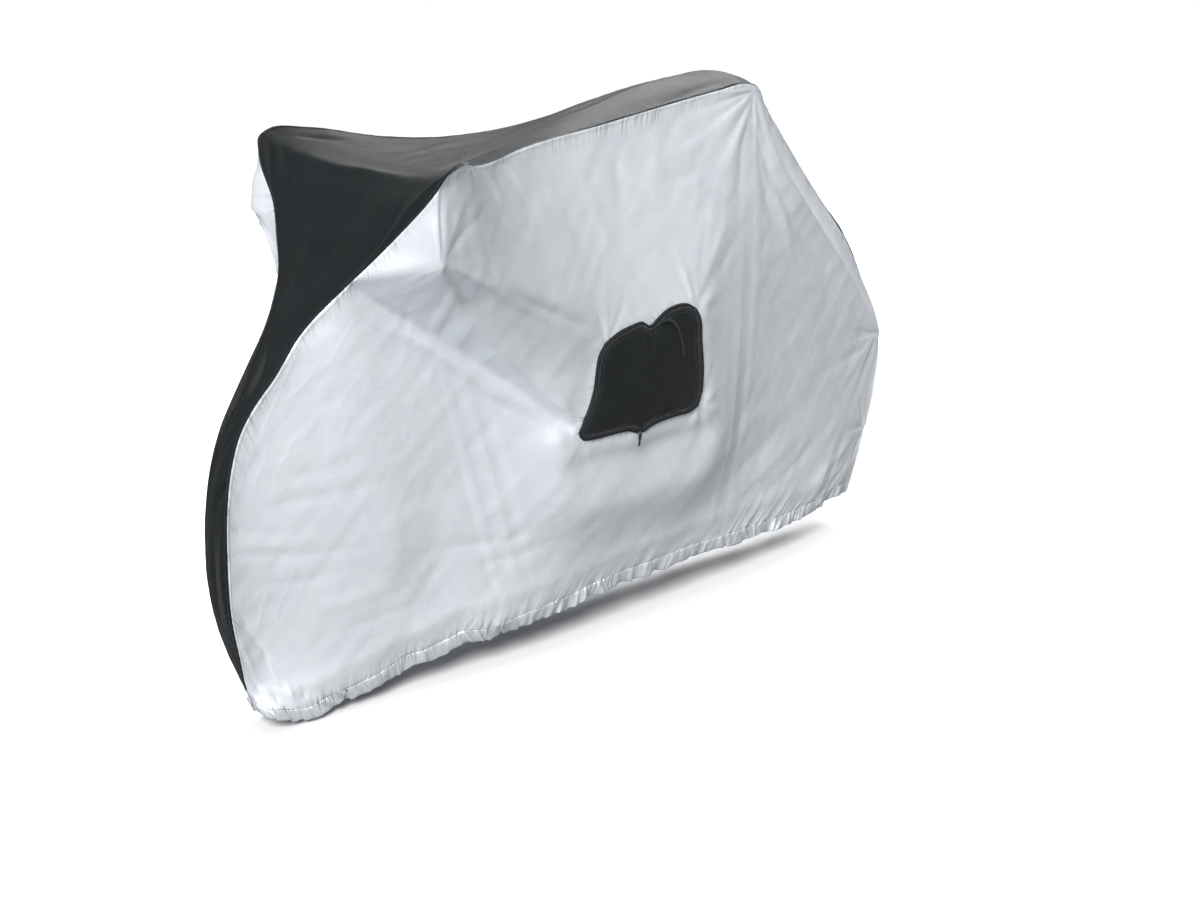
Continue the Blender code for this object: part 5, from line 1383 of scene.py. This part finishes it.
def on_pouch(line):
    """Points of the pocket's face and its normals under a side-view line."""
    i, j = grid_place(pouch_grid, line[:, 0], line[:, 1], (4, 4))
    return sampled(pouch_grid, i, j), unit(sampled(pouch_normal, i, j))

# %% [markdown]
# Straps, tapes, threads and the zip's teeth are all tubes: a ring carried along
# a path. One function makes any number of them at once, so a thousand stitches
# are still one array.

# %% Tubes along many paths at once
def tubes(paths, up, wide, thick, sides=6, square=1.0):
    """Closed tubes: at each path point a ring of cos a by wide/2 across and sin a
    by thick/2 along up; square below 1 gives the ring corners. Ends are capped
    with fans of four-sided faces. Gives points, faces and a map in metres."""
    count, rings = paths.shape[:2]
    way = unit(np.gradient(paths, axis=1))
    across = unit(np.cross(way, up))
    lift = np.cross(across, way)
    a = 2 * math.pi * (np.arange(sides) + 0.5) / sides
    c = np.sign(np.cos(a)) * np.abs(np.cos(a)) ** square
    s = np.sign(np.sin(a)) * np.abs(np.sin(a)) ** square
    wide = np.broadcast_to(wide, (count, rings))[..., None, None] / 2
    thick = np.broadcast_to(thick, (count, rings))[..., None, None] / 2
    points = (paths[:, :, None] + across[:, :, None] * (c[:, None] * wide)
              + lift[:, :, None] * (s[:, None] * thick))
    k = np.arange(rings * sides).reshape(rings, sides)
    k = np.concatenate([k, k[:, :1]], axis=1)
    walls = np.stack([k[:-1, :-1], k[:-1, 1:], k[1:, 1:], k[1:, :-1]], axis=-1).reshape(-1, 4)
    fan_faces = np.array([(0, m + 1, m, m - 1) for m in range(2, sides - 1, 2)])
    last = (rings - 1) * sides
    one = np.concatenate([walls, fan_faces, last + fan_faces[:, ::-1]])
    faces = (one[None] + (np.arange(count) * rings * sides)[:, None, None]).reshape(-1, 4)
    step = np.linalg.norm(np.diff(paths, axis=1), axis=2)
    along = np.concatenate([np.zeros((count, 1)), np.cumsum(step, axis=1)], axis=1)
    around = np.broadcast_to(np.arange(sides) / sides * (wide + thick)[..., 0] * 2,
                             (count, rings, sides))
    uv = np.stack([np.broadcast_to(along[..., None], around.shape), around], axis=-1)
    return points.reshape(-1, 3), faces, uv.reshape(-1, 2)


def stitch_paths(line, out, pitch, share, lift):
    """Stitches along a line: every pitch metres a thread that covers share of it,
    dives at both ends and lies lift over the cloth in its middle."""
    way = lengths_along(line)
    count = int(way[-1] // pitch)
    at = (np.arange(count)[:, None] + 0.5 + share * np.linspace(-0.5, 0.5, 4)) * pitch
    normal = unit(read_at(out, way, at))
    return read_at(line, way, at) + normal * (lift * np.array([-0.6, 1.0, 1.0, -0.6]))[:, None], normal


def joined(parts):
    """Several arrays of points, faces and map as one."""
    starts = np.cumsum([0] + [len(p) for p, _, _ in parts[:-1]])
    return (np.concatenate([p for p, _, _ in parts]),
            np.concatenate([f + n for (_, f, _), n in zip(parts, starts)]),
            np.concatenate([m for _, _, m in parts]))


trial = tubes(np.eye(3)[None], np.ones(3), 0.1, 0.1)
print("a thread of three rings has %d faces" % len(trial[1]))

# %% [markdown]
# The zip is a woven tape with a nylon coil on it: pairs of small teeth, about
# one and a half millimetres apart, that lean into each other.

# %% Zip tape and teeth
ZIP_WIDE, ZIP_THICK = 0.0075, 0.0009
TOOTH_PITCH = 0.0015
ZIP_END = 0.003                # the coil stops this far from the slider's middle
SLIDER_AT = (-0.047, 0.4145)   # at the foot, in side view


def moved_in(line, before, after, inset):
    """A line moved to its right by inset metres; before and after are the three
    points that go on from its two ends."""
    ring = np.concatenate([before, line, after])
    way = unit(ring[6:] - ring[:-6])
    return line + np.stack([way[:, 1], -way[:, 0]], axis=1) * inset


def zip_line(count):
    """The outline moved in by ZIP_INSET, opened at the slider, in even steps."""
    line = moved_in(RING, RING[-4:-1], RING[1:4], ZIP_INSET)
    start = int(np.argmin(np.hypot(line[:, 0] - SLIDER_AT[0], line[:, 1] - SLIDER_AT[1])))
    line = np.concatenate([line[start:-1], line[:start + 1]])
    line[1:-1] = (line[:-2] + line[1:-1] * 2 + line[2:]) / 4
    way = lengths_along(line)
    return read_at(line, way, np.linspace(ZIP_END, way[-1] - ZIP_END, count))


zip_side = zip_line(420)
zip_path, zip_out = on_pouch(zip_side)
tape = tubes((zip_path + zip_out * 0.0007)[None], zip_out[None], ZIP_WIDE, ZIP_THICK, 8, 0.4)
zip_way = lengths_along(zip_path)
zip_length = zip_way[-1]
teeth = int(zip_length / TOOTH_PITCH)
at = (np.arange(teeth) + 0.5) / teeth * zip_length
tooth_at = read_at(zip_path, zip_way, at)
tooth_out = unit(read_at(zip_out, zip_way, at))
tooth_way = unit(np.gradient(tooth_at, axis=0))
tooth_side = np.cross(tooth_way, tooth_out) * np.where(np.arange(teeth) % 2, 1, -1)[:, None]
reach = np.linspace(-0.002, 0.0008, 3)
tooth_path = (tooth_at[:, None] + tooth_side[:, None] * reach[:, None]
              + tooth_out[:, None] * np.array([0.0013, 0.0018, 0.0016])[:, None])
coil = tubes(tooth_path, np.broadcast_to(tooth_out[:, None], tooth_path.shape), 0.001, 0.0011, 6)
print("zip %.3f m, %d teeth" % (zip_length, teeth))

# %% [markdown]
# A loop of narrow webbing comes out of the notch in the pocket's top, bends over
# and lies down on the face. Its path is the face under a chalked line, smoothed,
# because webbing is too stiff to follow every fold, and raised where it loops.

# %% Webbing strap
STRAP_LINE = ((-0.004, 0.594), (0.008, 0.605), (0.026, 0.606), (0.044, 0.595),
              (0.056, 0.577), (0.064, 0.553), (0.071, 0.523))
STRAP_WIDE, STRAP_THICK = 0.0065, 0.0014
strap_side = resampled(STRAP_LINE, 60)
strap_path, strap_out = on_pouch(strap_side)
share = np.linspace(0, 1, 61)
hop = 0.001 + 0.004 * np.exp(-(share / 0.42) ** 4) + 0.0012 * np.sin(math.pi * share) ** 2
hop[0] = 0.0004
smooth, strap_out = (np.array([np.convolve(np.pad(axis, 7, mode="edge"), np.ones(15) / 15, "valid")
                               for axis in rough.T]).T for rough in (strap_path, strap_out))
strap_line = smooth + strap_out * hop[:, None]
strap = tubes(strap_line[None], strap_out[None], STRAP_WIDE, STRAP_THICK, 12, 0.45)
print("strap %.3f m long where it shows" % lengths_along(strap_line)[-1])

# %% [markdown]
# Slider and pull are small, but they are the only hard parts. The slider is two
# plates with a bridge; the pull is a moulded rubber tab on a metal link.

# %% Slider and pull
def loft(centre, rows, sides=16, square=0.5):
    """Closed body stacked along z: each row of the table gives the height, the
    width in x and the thickness in y of a rounded rectangle, and its shift in y
    where there is a fourth number."""
    rows = np.asarray(rows, float)
    path = np.stack([np.full(len(rows), centre[0]), np.full(len(rows), centre[1]),
                     centre[2] + rows[:, 0]], axis=1)
    if rows.shape[1] > 3:
        path[:, 1] += rows[:, 3]
    up = np.broadcast_to(np.array([0.0, -1.0, 0.0]), path.shape)
    return tubes(path[None], up[None], rows[None, :, 1], rows[None, :, 2], sides, square)


def arc_tube(centre, across, along, thick, start, stop, lean=0.0, plane="yz"):
    """Bent wire: an arc of an ellipse in a plane, carried by a round section."""
    a = np.linspace(math.radians(start), math.radians(stop), 17)
    first, last = across * np.cos(a), along * np.sin(a)
    flat = np.zeros(len(a))
    path = (np.stack([flat, first, last], axis=1) if plane == "yz"
            else np.stack([first, lean * last, last], axis=1)) + centre
    up = np.broadcast_to(np.array([1.0, 0, 0] if plane == "yz" else [0, 1.0, 0]), path.shape)
    return tubes(path[None], up[None], thick, thick, 8)


low, high = (np.array(c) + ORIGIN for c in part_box("zip_slider"))
middle = (low + high) / 2
middle[1] = on_pouch(middle[None, ::2])[0][0, 1] - 0.0022    # seated on the pocket's face
SLIDER_ROWS = ((-0.0055, 0.0044, 0.001), (-0.0052, 0.0056, 0.0026), (-0.003, 0.0066, 0.003),
               (0.0, 0.007, 0.003), (0.003, 0.0082, 0.003), (0.005, 0.008, 0.0026),
               (0.0055, 0.006, 0.001))
slider_body = loft(middle + (0, 0.0006, 0), SLIDER_ROWS)
slider_bridge = arc_tube(middle + (0, -0.0006, 0.0), 0.0016, 0.0036, 0.0011, 90, 270)
low, high = (np.array(c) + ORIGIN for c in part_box("zip_pull"))
head = np.array([(low[0] + high[0]) / 2, middle[1] - 0.002, high[2]])
pull_link = arc_tube(head + (0, 0.0002, -0.0008), 0.002, 0.0032, 0.001, 0, 360, 0.1, "xz")
PULL_LONG = 0.0262
z = np.linspace(0, -PULL_LONG, 34)
ribs = 0.0003 * np.sin(np.clip((-z - 0.009) / 0.0115, 0, 1) * 10 * math.pi) ** 2
width = 0.0052 + 0.0026 * np.exp(-((z + 0.006) / 0.006) ** 2) - 0.0012 * np.clip(-z / 0.026, 0, 1)
round_end = np.sqrt(np.clip(1 - ((np.abs(z + 0.0131) - 0.0101) / 0.0031).clip(0, 1) ** 2, 0.02, 1))
pull_tab = loft(head + (0, 0, -0.0006), np.stack(
    [z, width * round_end, (0.0019 + ribs) * round_end, 0.0036 * (-z / PULL_LONG)], axis=1))
print("slider and pull reach from z %.3f to %.3f m" % (low[2], high[2]))

# %% [markdown]
# Threads: the hem's stitch line in dark thread, longer stitches because it is
# sewn over elastic, a top stitch along both seams of the band, and one round the
# pocket's face. Two short tacks close the ends of the elastic's tunnel.

# %% Stitch rows
HEM_PITCH, HEM_THREAD = 0.0046, 0.0009       # length of a stitch with its gap, thread thickness
SEAM_PITCH, SEAM_THREAD = 0.004, 0.0006
SEAM_INSET = 0.0046                          # from the seam to its top stitch
FACE_PITCH, FACE_INSET = 0.0034, 0.0072      # round the pocket's face, in from the zip
TACKS = ((-0.774, 2.4), (-0.634, 1.2))       # where the elastic's ends are caught: x, slant
near_hem_out = normals(near_grid, np.array([0.0, -1.0, 0.0]))
far_hem_out = normals(far_grid, np.array([0.0, 1.0, 0.0]))
band_out = normals(band_cloth, UP_AND_FORWARD)


def seam_stitches(grid, out):
    """Stitches SEAM_INSET from a grid's first column, measured down it."""
    down = column_lengths(grid)
    j = np.array([np.interp(SEAM_INSET, row, np.arange(len(row))) for row in down])
    i = np.arange(len(grid), dtype=float)
    paths, up = stitch_paths(sampled(grid, i, j), sampled(out, i, j), SEAM_PITCH, 0.68, 0.0003)
    return tubes(paths, up, SEAM_THREAD, SEAM_THREAD, 6)


hem_rows = []
for grid, out, last in ((near_grid, near_hem_out, NEAR_DOWN), (far_grid, far_hem_out, FAR_DOWN)):
    paths, up = stitch_paths(grid[14:-10, last], out[14:-10, last], HEM_PITCH, 0.7, 0.0006)
    hem_rows.append(tubes(paths, up, HEM_THREAD, HEM_THREAD, 6))
tacks = []
for x, turn in TACKS:
    i = int(np.argmin(np.abs(near_cloth[:, -1, 0] - x) + (np.arange(ALONG + 1) < 6)))
    ends = (np.array([i, i - round(5 * turn)]), np.array([NEAR_DOWN, NEAR_DOWN + 7]))
    t = np.linspace(0, 1, 5)[:, None]
    line = near_grid[ends][0] * (1 - t) + near_grid[ends][1] * t
    out = np.broadcast_to(near_hem_out[ends].mean(axis=0), line.shape)
    tacks.append(tubes((line + out * 0.0026)[None], out[None], 0.0022, 0.0016, 6))
hem_thread = joined(hem_rows + tacks)
seam_thread = joined([seam_stitches(band_cloth, band_out),
                      seam_stitches(band_cloth[:, ::-1], band_out[:, ::-1])])
face_line = moved_in(zip_side, zip_side[-3:], zip_side[:3], FACE_INSET)
paths, up = stitch_paths(*on_pouch(face_line), FACE_PITCH, 0.66, 0.0003)
pouch_thread = tubes(paths, up, SEAM_THREAD, SEAM_THREAD, 6)
print("stitches: hem %d, seams %d, pocket %d faces" % tuple(
    len(t[1]) for t in (hem_thread, seam_thread, pouch_thread)))

# %% [markdown]
# The small parts have finishes of their own: a heavier, drier cloth for the
# pocket, ribbed tape and webbing, moulded coil and rubber, and a dull metal.

# %% Finishes of the small parts
def ribbed_finish(name, colour, worn, sockets, ribs, depth):
    """Woven narrow tape: ribs to a metre across it, and a finer slanted thread."""
    finish, tree, shader = new_finish(name)
    place = add_node(tree, "ShaderNodeUVMap", [("uv_map", "cloth")]).outputs[0]
    rib = add_node(tree, "ShaderNodeTexWave", [("bands_direction", "X")], Vector=place,
                   Scale=ribs * WAVE_SCALE, Distortion=0.3).outputs["Fac"]
    thread = add_node(tree, "ShaderNodeTexWave", [("bands_direction", "DIAGONAL")], Vector=place,
                      Scale=ribs * 0.6).outputs["Fac"]
    tree.links.new(mixed(tree, rib, colour, worn), shader.inputs["Base Color"])
    tree.links.new(bumped(tree, sum_of(tree, rib, thread), depth, 0.6), shader.inputs["Normal"])
    set_sockets(shader, sockets)
    return finish


def moulded_finish(name, colour, worn, sockets, grain, depth):
    """Moulded or cast part: fine grain, and a paler tone where it is rubbed."""
    finish, tree, shader = new_finish(name)
    place = add_node(tree, "ShaderNodeTexCoord").outputs["Object"]
    cloud = ramped(tree, noise(tree, place, 220.0, 4.0, 0.6), 0.4, 0.7)
    tree.links.new(mixed(tree, cloud, colour, worn), shader.inputs["Base Color"])
    tree.links.new(bumped(tree, noise(tree, place, grain, 3.0), depth, 0.5), shader.inputs["Normal"])
    set_sockets(shader, sockets)
    return finish


pocket_cloth = cloth_finish("pocket_cloth", (0.0082, 0.0104, 0.0112, 1), (0.006, 0.0076, 0.0084, 1),
                            {"Metallic": 0.0, "Roughness": 0.6, "Specular IOR Level": 0.2,
                             "Sheen Weight": 0.06, "Sheen Roughness": 0.5}, 0.0004, 1300, 0.00012)
tape_black = ribbed_finish("zip_tape", (0.01, 0.011, 0.012, 1), (0.018, 0.02, 0.021, 1),
                           {"Roughness": 0.7, "Sheen Weight": 0.2}, 900, 0.0002)
webbing = ribbed_finish("strap_webbing", (0.011, 0.013, 0.0145, 1), (0.022, 0.025, 0.028, 1),
                        {"Roughness": 0.6, "Specular IOR Level": 0.25, "Sheen Weight": 0.1}, 700, 0.0003)
coil_black = moulded_finish("zip_coil", (0.01, 0.011, 0.012, 1), (0.018, 0.019, 0.021, 1),
                            {"Roughness": 0.35, "Specular IOR Level": 0.5}, 900.0, 0.00008)
thread_grey = moulded_finish("hem_thread_grey", (0.03, 0.033, 0.037, 1), (0.07, 0.074, 0.08, 1),
                             {"Roughness": 0.7, "Sheen Weight": 0.3}, 1500.0, 0.0001)
thread_black = moulded_finish("seam_thread_black", (0.012, 0.013, 0.014, 1), (0.03, 0.032, 0.034, 1),
                              {"Roughness": 0.6, "Sheen Weight": 0.3}, 1500.0, 0.0001)
dull_metal = moulded_finish("dull_metal", (0.3, 0.24, 0.19, 1), (0.46, 0.4, 0.34, 1),
                            {"Metallic": 0.9, "Roughness": 0.38}, 700.0, 0.00008)
dark_metal = moulded_finish("dark_metal", (0.03, 0.031, 0.033, 1), (0.1, 0.1, 0.1, 1),
                            {"Metallic": 0.8, "Roughness": 0.42}, 700.0, 0.00008)
pull_rubber = moulded_finish("pull_rubber", (0.018, 0.019, 0.02, 1), (0.032, 0.034, 0.036, 1),
                             {"Roughness": 0.55, "Specular IOR Level": 0.45}, 1100.0, 0.0001)
print("finishes in all:", len(bpy.data.materials))

# %% [markdown]
# Now the pocket, the zip, the strap and the threads become meshes too. Five stand
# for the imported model's plain solids; coil, link and threads are added detail.

# %% The pocket and the small parts as meshes
pouch_map = np.stack(np.meshgrid(np.linspace(0, 0.3, POUCH_ACROSS + 1),
                                 np.linspace(0, 0.2, POUCH_DOWN + 1), indexing="ij"), axis=-1)
pouch = make_piece("pouch_cloth", pouch_grid, grid_faces(*pouch_grid.shape[:2]), pocket_cloth,
                   "pocket_black", pouch_map)
zip_tape = make_piece("zip_tape", tape[0], tape[1], tape_black, "zip_black", tape[2])
zip_coil = make_piece("zip_coil", coil[0], coil[1], coil_black, "zip_black", coil[2])
strap_piece = make_piece("strap_webbing", strap[0], strap[1], webbing, "webbing_black", strap[2])
slider = make_piece("slider_body", *joined([slider_body, slider_bridge])[:2], dark_metal,
                    "slider_metal")
link = make_piece("pull_link", *pull_link[:2], dull_metal, "slider_metal")
pull = make_piece("pull_tab", *pull_tab[:2], pull_rubber, "pull_rubber")
hem_stitches = make_piece("hem_stitches", *hem_thread[:2], thread_grey, "nylon_black")
seam_stitching = make_piece("seam_stitches", *seam_thread[:2], thread_black, "nylon_black")
pouch_stitches = make_piece("pouch_stitches", *pouch_thread[:2], thread_black, "pocket_black")
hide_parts("pouch_panel")
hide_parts("pouch_zip")
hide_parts("pouch_strap")
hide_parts("zip_slider")
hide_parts("zip_pull")

# %% [markdown]
# The camera looks down on the near side from the front, from about 3.7 m. A
# fairly long lens keeps the cover's proportions close to those in side view.

# %% Camera
TARGET = np.array([0.008, 0.0, 0.321]) - ORIGIN
AZIMUTH, ELEVATION, DISTANCE = math.radians(-42.556), math.radians(17.969), 3.707
back = np.array([math.sin(AZIMUTH) * math.cos(ELEVATION), -math.cos(AZIMUTH) * math.cos(ELEVATION),
                 math.sin(ELEVATION)])


def look_at(thing, place, target):
    """Put a camera or light at a place, facing a target, upright."""
    thing.location = Vector(place)
    thing.rotation_euler = (Vector(target) - Vector(place)).to_track_quat("-Z", "Y").to_euler()


lens = bpy.data.cameras.new("camera")
lens.lens = 57.96
lens.sensor_width = 36.0
camera = bpy.data.objects.new("camera", lens)
scene.collection.objects.link(camera)
look_at(camera, TARGET + back * DISTANCE, TARGET)
scene.camera = camera
print("camera at", [round(c, 2) for c in camera.location])

# %% [markdown]
# Coated cloth shows its folds by what it mirrors, so the light is soft and has a
# direction: a wide sun from the front on the near side for the facets, a large lamp
# behind and above for the band, and a pale sky that is brighter at the front.

# %% Soft studio light

def soft_light(name, kind, place, power, colour, size=1.0):
    """A square area light, or a sun with a wide soft disc, that faces the cover's
    middle. A sun's size is its angle in degrees."""
    light = bpy.data.lights.new(name, kind)
    light.energy = power
    light.color = colour
    if kind == "SUN":
        light.angle = math.radians(size)
    else:
        light.size = size
    lamp = bpy.data.objects.new(name, light)
    scene.collection.objects.link(lamp)
    look_at(lamp, place, (-0.2, 0.0, -0.5))


soft_light("key_light", "SUN", (-3.3, -2.4, 2.55), 4.2, (1.0, 1.0, 1.0), 26)
soft_light("top_light", "AREA", (2.1, 1.5, 2.6), 190, (1.0, 1.0, 1.0), 2.4)

world = bpy.data.worlds.new("pale_room")
world.use_nodes = True
sky = world.node_tree
side = add_node(sky, "ShaderNodeTexCoord").outputs["Generated"]
way = add_node(sky, "ShaderNodeSeparateXYZ", Vector=side)
sky.links.new(ramped(sky, way.outputs["X"], -1.0, 1.0, 0.58, 0.18),
              sky.nodes["Background"].inputs["Strength"])
sky.nodes["Background"].inputs["Color"].default_value = (0.94, 0.96, 1.0, 1)
scene.world = world
scene.view_settings.view_transform = "Standard"
print("lights:", [light.name for light in bpy.data.lights])

# %% [markdown]
# The floor is pale and plain, and a round pale wall stands far off, so that every
# view has the same quiet ground. Neither throws light back on the cloth: the
# sky does that. They are the stage, which isn't part of the object.

# %% Floor and wall
FLOOR = -0.004                           # the floor, in the side-view frame
FLOOR_HALF, WALL_RADIUS, WALL_HIGH, WALL_CELLS = 30, 29, 26, 64
finish_floor, tree, shader = new_finish("pale_floor")
place = add_node(tree, "ShaderNodeTexCoord").outputs["Object"]
pale = mixed(tree, noise(tree, place, 1.2, 3.0), (0.86, 0.86, 0.86, 1), (0.9, 0.9, 0.9, 1))
tree.links.new(pale, shader.inputs["Base Color"])
set_sockets(shader, {"Roughness": 0.9, "Specular IOR Level": 0.2})
corners = np.array([(x * FLOOR_HALF, y * FLOOR_HALF, FLOOR)
                    for x, y in ((-1, -1), (1, -1), (1, 1), (-1, 1))]) - ORIGIN
floor_mesh = bpy.data.meshes.new("floor")
floor_mesh.from_pydata(corners.tolist(), [], [(0, 1, 2, 3)])
floor_mesh.materials.append(finish_floor)
turn = np.linspace(0, 2 * math.pi, WALL_CELLS + 1)[:-1]
ring = np.stack([WALL_RADIUS * np.cos(turn), WALL_RADIUS * np.sin(turn), np.full(WALL_CELLS, FLOOR)],
                axis=1) - ORIGIN
k = np.arange(WALL_CELLS)
after = (k + 1) % WALL_CELLS
wall_faces = np.stack([k, after, after + WALL_CELLS, k + WALL_CELLS], axis=1)[:, ::-1]
wall_mesh = bpy.data.meshes.new("wall")
wall_mesh.from_pydata(np.concatenate([ring, ring + (0, 0, WALL_HIGH)]).tolist(), [],
                      wall_faces.tolist())
finish_wall, tree, shader = new_finish("pale_wall")
set_sockets(shader, {"Base Color": (0, 0, 0, 1), "Specular IOR Level": 0.0,
                     "Emission Color": (0.93, 0.94, 0.96, 1), "Emission Strength": 0.95})
wall_mesh.materials.append(finish_wall)
for name, mesh in (("floor", floor_mesh), ("wall", wall_mesh)):
    stage = bpy.data.objects.new(name, mesh)
    scene.collection.objects.link(stage)
    stage.visible_diffuse = stage.visible_glossy = stage.visible_shadow = False
print("floor %d m wide, wall %d m off" % (2 * FLOOR_HALF, WALL_RADIUS))

# %% [markdown]
# The panels are cut to a shape. The threads of both hems are one piece.

print("all pieces made")
